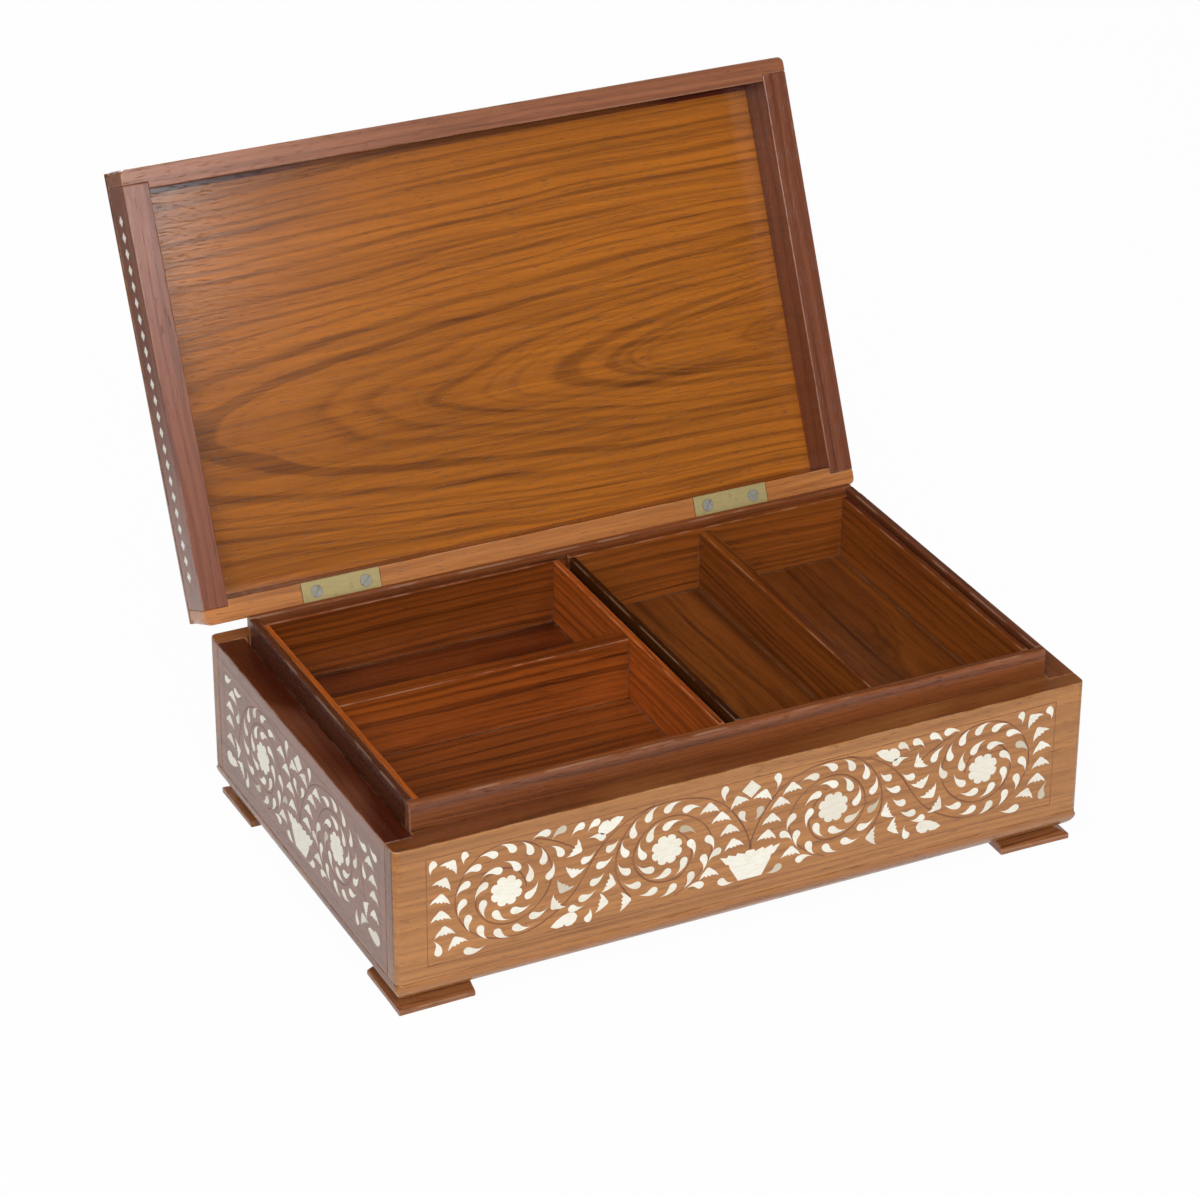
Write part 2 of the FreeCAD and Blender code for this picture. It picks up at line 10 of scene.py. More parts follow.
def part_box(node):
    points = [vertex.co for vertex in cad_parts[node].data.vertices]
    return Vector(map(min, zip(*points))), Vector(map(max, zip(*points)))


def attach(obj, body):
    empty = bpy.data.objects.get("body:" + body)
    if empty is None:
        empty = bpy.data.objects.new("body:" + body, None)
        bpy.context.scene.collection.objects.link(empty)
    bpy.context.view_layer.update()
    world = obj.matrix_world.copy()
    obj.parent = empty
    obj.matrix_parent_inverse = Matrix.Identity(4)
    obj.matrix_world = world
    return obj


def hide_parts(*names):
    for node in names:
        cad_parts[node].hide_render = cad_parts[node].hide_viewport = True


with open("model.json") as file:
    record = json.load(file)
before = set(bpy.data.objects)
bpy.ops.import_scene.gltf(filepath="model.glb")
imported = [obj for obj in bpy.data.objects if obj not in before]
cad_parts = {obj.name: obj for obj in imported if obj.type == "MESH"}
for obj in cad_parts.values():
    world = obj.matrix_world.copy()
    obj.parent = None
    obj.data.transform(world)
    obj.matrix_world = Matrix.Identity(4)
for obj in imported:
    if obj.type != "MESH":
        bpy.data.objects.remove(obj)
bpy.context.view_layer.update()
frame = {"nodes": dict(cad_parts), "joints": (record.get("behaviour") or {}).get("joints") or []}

scene = bpy.context.scene
MM = 0.001


# Bottom board: one wide hardwood board glued under the walls, with its lower edges worked round.
# It is oiled rosewood like the rest of the case: wavy darker lines along the board, open pores
# and a waxed sheen that wears paler along the edges.
def colour(red, green, blue):
    """A colour as read on a screen, 0 to 255, made linear."""
    def linear(level):
        level /= 255
        return level / 12.92 if level <= 0.04045 else ((level + 0.055) / 1.055) ** 2.4
    return (linear(red), linear(green), linear(blue), 1)


def add_node(tree, kind, sockets=None, **settings):
    """A shader node with its settings made and its sockets set or linked."""
    node = tree.nodes.new(kind)
    for name, value in settings.items():
        setattr(node, name, value)
    for name, value in (sockets or {}).items():
        if isinstance(value, bpy.types.NodeSocket):
            tree.links.new(value, node.inputs[name])
        else:
            node.inputs[name].default_value = value
    return node


def reckon(tree, operation, *terms):
    """The result of one sum on numbers or sockets."""
    return add_node(tree, "ShaderNodeMath", dict(enumerate(terms)), operation=operation).outputs[0]


def ramp(tree, value, low, high):
    """0 below low, 1 above high, and a smooth rise between them."""
    sockets = {"Value": value, "From Min": low, "From Max": high}
    return add_node(tree, "ShaderNodeMapRange", sockets, interpolation_type="SMOOTHSTEP").outputs[0]


def mix_colours(tree, factor, first, second, blend="MIX"):
    """The second colour over the first one."""
    sockets = {0: factor, 6: first, 7: second}
    return add_node(tree, "ShaderNodeMix", sockets, data_type="RGBA", blend_type=blend).outputs[2]


def stretched_noise(tree, vector, per_metre, detail):
    """Noise with its own number of changes per metre in each direction."""
    scaled = add_node(tree, "ShaderNodeVectorMath", {0: vector, 1: per_metre}, operation="MULTIPLY")
    sockets = {"Vector": scaled.outputs[0], "Scale": 1, "Detail": detail}
    return add_node(tree, "ShaderNodeTexNoise", sockets)


def wander(tree, vector, per_metre, reach):
    """The same place pushed across the grain by a slow noise."""
    drift = stretched_noise(tree, vector, per_metre, 2).outputs["Color"]
    centred = add_node(tree, "ShaderNodeVectorMath", {0: drift, 1: (0.5, 0.5, 0.5)}, operation="SUBTRACT")
    sockets = {0: centred.outputs[0], 1: (0, reach, reach), 2: vector}
    return add_node(tree, "ShaderNodeVectorMath", sockets, operation="MULTIPLY_ADD").outputs[0]


grain = bpy.data.node_groups.new("rosewood_grain", "ShaderNodeTree")
for label, kind in (("Vector", "Vector"), ("Pale", "Color"), ("Dark", "Color"), ("Line Spacing", "Float"),
                    ("Rings", "Float"), ("Lean", "Float"), ("Figure", "Float"), ("Rubbed", "Float"),
                    ("Shade_And_Tone", "Float"), ("Dust", "Float")):
    grain.interface.new_socket(label, in_out="INPUT", socket_type=f"NodeSocket{kind}")
for label, kind in (("Color", "Color"), ("Roughness", "Float"), ("Height", "Float")):
    grain.interface.new_socket(label, in_out="OUTPUT", socket_type=f"NodeSocket{kind}")
board = grain.nodes.new("NodeGroupInput").outputs
bent = wander(grain, board["Vector"], (6, 24, 24), 0.01)
bent = wander(grain, bent, (24, 90, 90), 0.0016)
places = add_node(grain, "ShaderNodeSeparateXYZ", {0: bent}).outputs
leaning = reckon(grain, "MULTIPLY_ADD", places["X"], board["Lean"], places["Z"])
across = add_node(grain, "ShaderNodeCombineXYZ", {"Y": places["Y"], "Z": leaning}).outputs[0]
ring = add_node(grain, "ShaderNodeVectorMath", {0: across}, operation="LENGTH").outputs["Value"]
turns = reckon(grain, "DIVIDE", ring, board["Line Spacing"])
line_noise = add_node(grain, "ShaderNodeTexNoise", {"W": turns, "Scale": 1, "Detail": 3},
                      noise_dimensions="1D")
lines = ramp(grain, line_noise.outputs[0], 0.45, 0.66)
slow_turns = reckon(grain, "MULTIPLY", turns, 0.13)
band_noise = add_node(grain, "ShaderNodeTexNoise", {"W": slow_turns, "Scale": 1, "Detail": 1},
                      noise_dimensions="1D")
bands = ramp(grain, band_noise.outputs[0], 0.3, 0.75)
streaks = ramp(grain, stretched_noise(grain, bent, (3.5, 380, 380), 4).outputs[0], 0.32, 0.7)
veins = ramp(grain, stretched_noise(grain, bent, (2.2, 260, 260), 3).outputs[0], 0.52, 0.7)
fibre = stretched_noise(grain, bent, (22, 1100, 1100), 3).outputs[0]
pores = ramp(grain, stretched_noise(grain, bent, (150, 1900, 1900), 1).outputs[0], 0.62, 0.74)
cloud = stretched_noise(grain, board["Vector"], (8, 20, 20), 2).outputs[0]
figured = reckon(grain, "MULTIPLY_ADD", lines, board["Rings"], reckon(grain, "MULTIPLY", bands, 0.22))
figured = reckon(grain, "MULTIPLY_ADD", veins, 0.4, figured)
figured = reckon(grain, "MULTIPLY", reckon(grain, "MULTIPLY_ADD", streaks, 0.42, figured), board["Figure"])
speckle = reckon(grain, "MULTIPLY", reckon(grain, "SUBTRACT", fibre, 0.5), 0.7)
patch = reckon(grain, "MULTIPLY", reckon(grain, "SUBTRACT", cloud, 0.42), 0.35)
tone = reckon(grain, "ADD", reckon(grain, "ADD", figured, speckle), patch)
tone = add_node(grain, "ShaderNodeClamp", {"Value": tone}).outputs[0]
body_colour = mix_colours(grain, tone, board["Pale"], board["Dark"])
pored = mix_colours(grain, reckon(grain, "MULTIPLY", pores, 0.45), body_colour, (0.02, 0.007, 0.003, 1))
# Faces marked as darkened are multiplied towards a dark red brown in blotches: painted shade on rims and
# recesses, a darker tone on board ends and other faces.
blotches = reckon(grain, "MULTIPLY_ADD", ramp(grain, cloud, 0.36, 0.6), 0.75, 0.6)
darkening_share = reckon(grain, "MULTIPLY", board["Shade_And_Tone"], blotches)
shade_and_tone = mix_colours(grain, darkening_share, (1, 1, 1, 1), (0.28, 0.105, 0.03, 1))
darkened_wood = mix_colours(grain, 1, pored, shade_and_tone, "MULTIPLY")
scuffs = ramp(grain, stretched_noise(grain, board["Vector"], (70, 160, 160), 4).outputs[0], 0.4, 0.62)
scuffed = reckon(grain, "MULTIPLY", board["Rubbed"], scuffs)
rubbed_colour = mix_colours(grain, 0.35, board["Pale"], (0.5, 0.36, 0.25, 1))
worn_colour = mix_colours(grain, reckon(grain, "MULTIPLY", scuffed, 0.6), darkened_wood, rubbed_colour)
dusty = reckon(grain, "MULTIPLY", board["Dust"], reckon(grain, "MULTIPLY_ADD", scuffs, 0.7, 0.2))
worn_colour = mix_colours(grain, dusty, worn_colour, (0.23, 0.14, 0.08, 1))
rough = reckon(grain, "MULTIPLY_ADD", fibre, 0.14, reckon(grain, "MULTIPLY", pores, 0.15))
rough = reckon(grain, "ADD", rough, 0.17)
height = reckon(grain, "SUBTRACT", reckon(grain, "MULTIPLY", fibre, 0.4), pores)
add_node(grain, "NodeGroupOutput", {"Color": worn_colour, "Roughness": rough, "Height": height})


DUST_REACH = 3 * MM


def wood_finish(name, pale, dark, middle, spacing=2.8, figure=0.6, turn=(0, 0, 0), pith=(0, 20, -120),
                shine=0.5, rings=0.4, lean=0, dust=0, polish=1):
    """Waxed rosewood. The pith is how far off the board's middle the tree's middle lies, in millimetres."""
    finish = bpy.data.materials.new(name)
    finish.use_nodes = True
    tree = finish.node_tree
    shader = tree.nodes["Principled BSDF"]
    shader.inputs["Specular IOR Level"].default_value = shine
    place = add_node(tree, "ShaderNodeTexCoord").outputs["Object"]
    way = Euler([math.radians(angle) for angle in turn])
    shift = Vector(pith) * -MM - way.to_matrix() @ middle
    sockets = {"Vector": place, "Location": shift, "Rotation": way}
    along = add_node(tree, "ShaderNodeMapping", sockets).outputs[0]
    wood = add_node(tree, "ShaderNodeGroup", node_tree=grain)
    for label, value in (("Pale", colour(*pale)), ("Dark", colour(*dark)), ("Line Spacing", spacing * MM),
                         ("Rings", rings), ("Lean", lean), ("Figure", figure)):
        wood.inputs[label].default_value = value
    tree.links.new(along, wood.inputs["Vector"])
    for label in ("Rubbed", "Shade_And_Tone"):
        mark = add_node(tree, "ShaderNodeAttribute", attribute_name=label.lower()).outputs["Fac"]
        tree.links.new(mark, wood.inputs[label])
    if dust:
        nook = add_node(tree, "ShaderNodeAmbientOcclusion", {"Distance": DUST_REACH}, samples=8).outputs["AO"]
        half_open = reckon(tree, "SUBTRACT", ramp(tree, nook, 0.4, 0.5), ramp(tree, nook, 0.5, 0.68))
        tree.links.new(reckon(tree, "MULTIPLY", half_open, dust), wood.inputs["Dust"])
    sockets = {"Height": wood.outputs["Height"], "Strength": 0.35, "Distance": 0.0002}
    bump = add_node(tree, "ShaderNodeBump", sockets)
    tree.links.new(wood.outputs["Color"], shader.inputs["Base Color"])
    tree.links.new(reckon(tree, "MULTIPLY", wood.outputs["Roughness"], polish), shader.inputs["Roughness"])
    tree.links.new(bump.outputs[0], shader.inputs["Normal"])
    return finish


def middle_of(bm):
    """The middle of a board's box."""
    low = Vector([min(vert.co[axis] for vert in bm.verts) for axis in range(3)])
    high = Vector([max(vert.co[axis] for vert in bm.verts) for axis in range(3)])
    return (low + high) / 2


UP = Vector((0, 0, 1))


def darken_faces(bm, share, way=UP, level=None):
    """Marks the faces that look one way, and lie at a level if one is given, as darkened from 0 to 1, for
    painted shade on some boards and a darker tone on others.
    """
    mark = bm.faces.layers.float.get("shade_and_tone") or bm.faces.layers.float.new("shade_and_tone")
    bm.normal_update()
    for face in bm.faces:
        at_level = level is None or abs(face.calc_center_median().dot(way) - level) < MM
        if at_level and face.normal.dot(way) > 0.9:
            face[mark] = share


def put_together(name, bm, finish, body, slot, *nodes):
    """The finished piece, riding on its body in place of its plain nodes."""
    mesh = bpy.data.meshes.new(name)
    bm.to_mesh(mesh)
    bm.free()
    mesh.materials.append(finish)
    piece = bpy.data.objects.new(name, mesh)
    scene.collection.objects.link(piece)
    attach(piece, body)
    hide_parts(*nodes)
    return piece


SHARP = math.radians(50)


def ease_edges(bm, width, segments=2):
    """Takes the sharp edges off with a plane, and marks them as rubbed."""
    rubbed = bm.faces.layers.float["rubbed"]
    sharp = [edge for edge in bm.edges if edge.is_manifold and edge.calc_face_angle() > SHARP]
    made = bmesh.ops.bevel(bm, geom=sharp, offset=width, segments=segments, profile=0.5, affect="EDGES",
                           material=-1)
    for face in made["faces"]:
        face[rubbed] = 1


def sawn_board(low, high):
    """A square board between two corners."""
    bm = bmesh.new()
    bm.faces.layers.float.new("rubbed")
    bmesh.ops.create_cube(bm, size=1)
    bmesh.ops.scale(bm, vec=high - low, verts=bm.verts)
    bmesh.ops.translate(bm, vec=(low + high) / 2, verts=bm.verts)
    return bm


CORNER_ROUND = 3 * MM
EDGE_ROUND = 8.5 * MM
EASE = 0.5 * MM


def round_off(bm, edges, width, segments):
    """Works some edges round, shaded smoothly."""
    made = bmesh.ops.bevel(bm, geom=edges, offset=width, segments=segments, profile=0.5, affect="EDGES",
                           material=-1)
    for face in made["faces"]:
        face.smooth = True


def rounded_board(low, high, worked):
    """A board with its upright corners rounded, and rounded all along its edge at the worked level."""
    bm = sawn_board(low, high)
    around = [edge for edge in bm.edges if all(abs(vert.co.z - worked) < MM for vert in edge.verts)]
    round_off(bm, around, EDGE_ROUND, 8)
    upright = [edge for edge in bm.edges if abs(edge.verts[0].co.z - edge.verts[1].co.z) > MM
               and all(abs(vert.co.z - worked) > EDGE_ROUND - EASE for vert in edge.verts)]
    round_off(bm, upright, CORNER_ROUND, 5)
    ease_edges(bm, EASE)
    return bm


END_DARKENING = 0.6
bottom_low, bottom_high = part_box("bottom_board")
bottom = rounded_board(bottom_low, bottom_high, bottom_low.z)
for way in (-1, 1):
    darken_faces(bottom, END_DARKENING, Vector((way, 0, 0)))
bottom_wood = wood_finish("bottom_wood", (180, 118, 62), (104, 60, 30), middle_of(bottom), pith=(0, 60, -90))
put_together("bottom_plank", bottom, bottom_wood, "base", "case_wood", "bottom_board")


# Walls: the two long boards lap over the ends of the side boards at rebated corners, and the
# outer corners are rounded. The front shows the palest, most even wood, and the rim carries painted
# shade that makes it darker than the faces below. The back wall has beds for the hinge leaves.
def lapped_board(low, high, lap, side, inward):
    """A long board rebated at both ends. The lap stays over the end of a board as thick as side."""
    outer, inner = (low.y, high.y) if inward > 0 else (high.y, low.y)
    shoulder = outer + inward * lap
    plan = ((low.x, outer), (high.x, outer), (high.x, shoulder), (high.x - side, shoulder),
            (high.x - side, inner), (low.x + side, inner), (low.x + side, shoulder), (low.x, shoulder))
    bm = bmesh.new()
    bm.faces.layers.float.new("rubbed")
    foot = bm.faces.new([bm.verts.new((x, y, low.z)) for x, y in plan])
    grown = bmesh.ops.extrude_face_region(bm, geom=[foot])["geom"]
    top = [part for part in grown if isinstance(part, bmesh.types.BMVert)]
    bmesh.ops.translate(bm, vec=(0, 0, high.z - low.z), verts=top)
    bmesh.ops.recalc_face_normals(bm, faces=bm.faces)
    corners = [edge for edge in bm.edges
               if all(abs(vert.co.y - outer) < MM for vert in edge.verts)
               and abs(edge.verts[0].co.x - edge.verts[1].co.x) < MM]
    round_off(bm, corners, CORNER_ROUND, 5)
    ease_edges(bm, EASE)
    return bm


LEAF = 1.5 * MM
BED_GAP = 0.3 * MM


def cut_leaf_beds(bm, leaves, level):
    """Cuts a bed as deep as a hinge leaf for each leaf, into the rim of a long board and open at the back."""
    beds = bmesh.new()
    for low, high in leaves:
        near = Vector((low.x - BED_GAP, low.y - BED_GAP, level - LEAF))
        far = Vector((high.x + BED_GAP, high.y, level + LEAF))
        made = bmesh.ops.create_cube(beds, size=1)["verts"]
        bmesh.ops.scale(beds, vec=far - near, verts=made)
        bmesh.ops.translate(beds, vec=(near + far) / 2, verts=made)
    whole = bpy.data.objects.new("whole", bpy.data.meshes.new("whole"))
    waste = bpy.data.objects.new("waste", bpy.data.meshes.new("waste"))
    bm.to_mesh(whole.data)
    beds.to_mesh(waste.data)
    beds.free()
    for piece in (whole, waste):
        scene.collection.objects.link(piece)
    cut = whole.modifiers.new("beds", "BOOLEAN")
    cut.operation = "DIFFERENCE"
    cut.object = waste
    graph = bpy.context.evaluated_depsgraph_get()
    left_over = bpy.data.meshes.new_from_object(whole.evaluated_get(graph))
    bm.clear()
    bm.from_mesh(left_over)
    for mesh in (whole.data, waste.data, left_over):
        bpy.data.meshes.remove(mesh)


ACROSS = (0, 0, 90)
WALL_FIGURE = 0.48
front_low, front_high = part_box("front_wall")
back_low, back_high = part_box("back_wall")
left_low, left_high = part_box("left_wall")
right_low, right_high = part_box("right_wall")
wall_lap = left_low.y - front_low.y
wall = left_high.x - left_low.x
front_board = lapped_board(front_low, front_high, wall_lap, wall, 1)
back_board = lapped_board(back_low, back_high, wall_lap, wall, -1)
cut_leaf_beds(back_board, [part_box(f"{side}_hinge_base_leaf") for side in ("left", "right")], back_high.z)
left_board = sawn_board(left_low, left_high)
right_board = sawn_board(right_low, right_high)
for side_board in (left_board, right_board):
    ease_edges(side_board, EASE)
walls = (
    ("front", front_board, (187, 127, 70), (110, 62, 29), (0, 0, 0), (0, 20, -130), 0.6),
    ("back", back_board, (176, 116, 64), (104, 58, 30), (0, 0, 0), (50, -30, -110), 0.7),
    ("left", left_board, (142, 88, 62), (84, 46, 32), ACROSS, (30, 25, -120), 1),
    ("right", right_board, (170, 108, 62), (100, 56, 30), ACROSS, (80, 50, -100), 0.9),
)
for side, wall_board, pale, dark, turn, pith, rim_painted_shade in walls:
    if side in ("front", "back"):
        for way in (-1, 1):
            darken_faces(wall_board, END_DARKENING, Vector((way, 0, 0)))
    # Painted shade: the rim's top faces are darkened, most of all on the left wall.
    darken_faces(wall_board, rim_painted_shade, level=front_high.z)
    wall_wood = wood_finish(f"{side}_wood", pale, dark, middle_of(wall_board), figure=WALL_FIGURE, turn=turn,
                            pith=pith)
    put_together(f"{side}_board", wall_board, wall_wood, "base", "case_wood", f"{side}_wall")


# Feet: two short mouldings meet in a mitre under each corner of the bottom board. Each has a low lip
# and a slope that runs up under the case, browner than the walls and knocked at the toes.
FOOT_LIP = 2.4 * MM
FOOT_SLOPE = 7.8 * MM
FOOT_EASE = 0.7 * MM
FOOT_FIGURE = 0.8
case_middle = (bottom_low + bottom_high) / 2
for corner in ("front_left", "front_right", "back_left", "back_right"):
    for facing in corner.split("_"):
        node = f"{corner}_foot_{facing}_moulding"
        low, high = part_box(node)
        middle = (low + high) / 2
        to_corner = Vector([math.copysign(1, middle[axis] - case_middle[axis]) for axis in range(2)] + [0])
        axis = 1 if facing in ("front", "back") else 0
        outward = Vector((0, to_corner.y, 0)) if axis else Vector((to_corner.x, 0, 0))
        half_depth = (high[axis] - low[axis]) / 2
        half_run = (high - low)[1 - axis] / 2 * (to_corner - outward)
        profile = ((half_depth, low.z), (half_depth, low.z + FOOT_LIP), (half_depth - FOOT_SLOPE, high.z),
                   (-half_depth, high.z), (-half_depth, low.z))
        foot = bmesh.new()
        foot.faces.layers.float.new("rubbed")
        end_face = foot.faces.new([foot.verts.new(middle - half_run + outward * out + UP * (level - middle.z))
                                   for out, level in profile])
        grown = bmesh.ops.extrude_face_region(foot, geom=[end_face])["geom"]
        far_end = [part for part in grown if isinstance(part, bmesh.types.BMVert)]
        bmesh.ops.translate(foot, vec=2 * half_run, verts=far_end)
        tip = middle + half_run + outward * half_depth
        mitre = (to_corner - 2 * outward).normalized()
        cut = bmesh.ops.bisect_plane(foot, geom=foot.verts[:] + foot.edges[:] + foot.faces[:], plane_co=tip,
                                     plane_no=mitre, clear_outer=True)
        rim_edges = [part for part in cut["geom_cut"] if isinstance(part, bmesh.types.BMEdge)]
        bmesh.ops.contextual_create(foot, geom=rim_edges)
        bmesh.ops.recalc_face_normals(foot, faces=foot.faces)
        ease_edges(foot, FOOT_EASE)
        turn = (0, 0, 0) if axis else ACROSS
        foot_wood = wood_finish(f"{node}_wood", (164, 102, 58), (74, 38, 20), middle, figure=FOOT_FIGURE,
                                turn=turn, pith=(middle.x / MM, 40, 30))
        put_together(f"{corner}_{facing}_foot", foot, foot_wood, "base", "case_wood", node)


# Liners: four thin boards stand inside the walls and rise above the rim, so that the lid finds its
# place over them. They are dark red, with their top edges worn by the lid and the trays.
LINER_EASE = 0.7 * MM
LINER_FIGURE = 0.75
# The left liner's colours are darker than the others', a painted shade over its wood.
liner_colours_and_shade = {"front": ((144, 80, 40), (66, 30, 14)), "back": ((140, 78, 42), (70, 34, 18)),
                 "left": ((92, 46, 26), (44, 20, 11)), "right": ((120, 64, 36), (58, 28, 15))}
for number, (side, (pale, dark)) in enumerate(liner_colours_and_shade.items()):
    node = f"{side}_liner"
    liner = sawn_board(*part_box(node))
    ease_edges(liner, LINER_EASE)
    turn = (0, 0, 0) if number < 2 else ACROSS
    liner_wood = wood_finish(f"{node}_wood", pale, dark, middle_of(liner), figure=LINER_FIGURE, turn=turn,
                             pith=(40 * number, 50, -70))
    put_together(f"{node}_board", liner, liner_wood, "base", "liner_wood", node)


# Tray runners: two plain strips glued low on the front and back liners, for the trays to stand on.
# They are hidden while the trays are in.
for node in ("front_tray_runner", "back_tray_runner"):
    runner = sawn_board(*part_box(node))
    ease_edges(runner, EASE)
    runner_wood = wood_finish(f"{node}_wood", (130, 76, 46), (80, 42, 26), middle_of(runner))
    put_together(f"{node}_strip", runner, runner_wood, "base", "liner_wood", node)


# Trays: two lift-out boxes of thin boards, each with one divider. The left one is orange brown
# on its top edges and red inside, the right one is plainer and browner. Dust lies in the corners.
TRAY_EASE = 0.5 * MM
TRAY_SHINE = 0.35
TRAY_FIGURE = 0.56
TRAY_RINGS = 0.6
TRAY_DUST = 0.6
TOP_DARKENING = 0.45
DARKER_BACK_FLOOR = 0.8
tray_colours = {"left": ((164, 82, 28), (58, 21, 6)), "right": ((150, 80, 28), (62, 27, 8))}
# Painted light and shade: each board's colours are scaled lighter or darker to match how light falls on it;
# floors are darker, the left tray's side walls lighter and the right tray's inner wall much darker.
tray_painted_light_and_shade = {
    "left": {"floor": 0.86, "front_wall": 1, "back_wall": 0.84, "outer_wall": 1.25, "inner_wall": 1.2,
             "divider": 1},
    "right": {"floor": 0.86, "front_wall": 0.95, "back_wall": 1, "outer_wall": 1, "inner_wall": 0.55,
              "divider": 1},
}
tray_tops = {"left": {"outer_wall": 0, "inner_wall": 0.3}, "right": {"inner_wall": 0.85, "outer_wall": 0.7}}
draw = random.Random(11)
for side, shades in tray_painted_light_and_shade.items():
    for part, shade in shades.items():
        node = f"{side}_tray_{part}"
        low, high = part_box(node)
        tray_board = sawn_board(low, high)
        ease_edges(tray_board, TRAY_EASE)
        if node == "left_tray_floor":
            back_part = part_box("left_tray_divider")[0].y
            whole_floor = tray_board.verts[:] + tray_board.edges[:] + tray_board.faces[:]
            bmesh.ops.bisect_plane(tray_board, geom=whole_floor, plane_co=(0, back_part, 0),
                                   plane_no=(0, 1, 0))
        darken_faces(tray_board, tray_tops[side].get(part, TOP_DARKENING if part != "floor" else 0), level=high.z)
        # The left tray's floor is darker behind the divider.
        if node == "left_tray_floor":
            darker_faces = tray_board.faces.layers.float["shade_and_tone"]
            for face in tray_board.faces:
                face[darker_faces] = DARKER_BACK_FLOOR if face.calc_center_median().y > back_part else 0
        runs_across = high.y - low.y > high.x - low.x and node != "left_tray_floor"
        pith = (draw.uniform(-200, 200), draw.uniform(20, 60), draw.uniform(-110, -70))
        pale, dark = ([shade * level for level in tone] for tone in tray_colours[side])
        tray_wood = wood_finish(f"{node}_wood", pale, dark, middle_of(tray_board), figure=TRAY_FIGURE,
                                turn=ACROSS if runs_across else (0, 0, 0), pith=pith, shine=TRAY_SHINE,
                                rings=TRAY_RINGS, dust=TRAY_DUST)
        put_together(f"{node}_board", tray_board, tray_wood, f"{side}_tray", "tray_wood", node)


# Lid: four rails lapped at the corners like the walls, under one wide board with rounded upper edges.
# The board's underside is the show face: golden orange with strong dark streaks and an arched figure.
# It is built shut and then swung open on the hinge line.
lid_hinge = next(joint for joint in frame["joints"] if joint["name"] == "lid_hinge")
hinge_line = Vector(lid_hinge["pos_m"])
SWING = lid_hinge["range_deg"][1]
swing_shut = Matrix.Rotation(math.radians(SWING), 4, "X")
lid_shuts = Matrix.Translation(hinge_line) @ swing_shut @ Matrix.Translation(-hinge_line)
lid_opens = lid_shuts.inverted()


def shut_box(node):
    """The lowest and highest corner of a piece of the lid, with the lid shut."""
    corners = [lid_shuts @ vert.co for vert in frame["nodes"][node].data.vertices]
    return (Vector([min(point[axis] for point in corners) for axis in range(3)]),
            Vector([max(point[axis] for point in corners) for axis in range(3)]))


LID_ALONG = (SWING, 0, 0)
LID_ACROSS = (SWING, 0, 90)
INNER_FACE_PAINTED_SHADE = 0.85
PAINTED_RAIL_SHADOW = 0.75
OUTSIDE_DARKENING = 0.6
PANEL_WOOD = {"rings": 0.62, "lean": 0.11, "polish": 0.72}
rail_front = shut_box("lid_front_rail")
rail_back = shut_box("lid_back_rail")
rail_left = shut_box("lid_left_rail")
rail_right = shut_box("lid_right_rail")
rail_lap = rail_left[0].y - rail_front[0].y
side_rail = rail_left[1].x - rail_left[0].x
back_rail = lapped_board(*rail_back, rail_lap, side_rail, -1)
cut_leaf_beds(back_rail, [shut_box(f"{side}_hinge_lid_leaf") for side in ("left", "right")], rail_back[0].z)
# Painted shade on the back rail's inner face, which shows as a dark band under the panel.
darken_faces(back_rail, INNER_FACE_PAINTED_SHADE, Vector((0, -1, 0)), -rail_back[0].y)
panel_low, panel_high = shut_box("lid_top_board")
panel = rounded_board(panel_low, panel_high, panel_high.z)
# A painted shadow of the front rail: a strip of the panel's underside along the rail is darkened. The panel's
# outer faces are given a darker tone.
PANEL_SHADOW = 2.5 * MM
shadow_line = rail_front[1].y + PANEL_SHADOW
bmesh.ops.bisect_plane(panel, geom=panel.verts[:] + panel.edges[:] + panel.faces[:],
                       plane_co=(0, shadow_line, 0), plane_no=(0, 1, 0))
darker_faces = panel.faces.layers.float.new("shade_and_tone")
for face in panel.faces:
    if face.normal.z < -0.9 and face.calc_center_median().y < shadow_line:
        face[darker_faces] = PAINTED_RAIL_SHADOW
    elif face.normal.z > -0.5:
        face[darker_faces] = OUTSIDE_DARKENING
lid_boards = (
    ("lid_front_rail", lapped_board(*rail_front, rail_lap, side_rail, 1), (156, 97, 66), (94, 50, 34),
     LID_ALONG, (0, 70, 40), 2.8, 0.6),
    ("lid_back_rail", back_rail, (202, 130, 70), (126, 72, 36), LID_ALONG, (0, 40, 60), 2.8, 0.6),
    ("lid_left_rail", sawn_board(*rail_left), (142, 82, 58), (88, 46, 32), LID_ACROSS, (0, 60, 30), 2.8, 0.6),
    ("lid_right_rail", sawn_board(*rail_right), (134, 76, 50), (82, 40, 26), LID_ACROSS, (0, 90, 30), 2.8,
     0.6),
    ("lid_top_board", panel, (181, 105, 30), (100, 53, 16), LID_ALONG, (0, 24, 28), 3.4, 0.65),
)
for node, bm, pale, dark, turn, pith, spacing, figure in lid_boards:
    if node in ("lid_left_rail", "lid_right_rail"):
        ease_edges(bm, EASE)
    bmesh.ops.transform(bm, matrix=lid_opens, verts=bm.verts)
    own_wood = PANEL_WOOD if node == "lid_top_board" else {}
    lid_wood = wood_finish(f"{node}_wood", pale, dark, middle_of(bm), spacing, figure, turn, pith, **own_wood)
    put_together(f"{node}_board", bm, lid_wood, "lid", "case_wood", node)


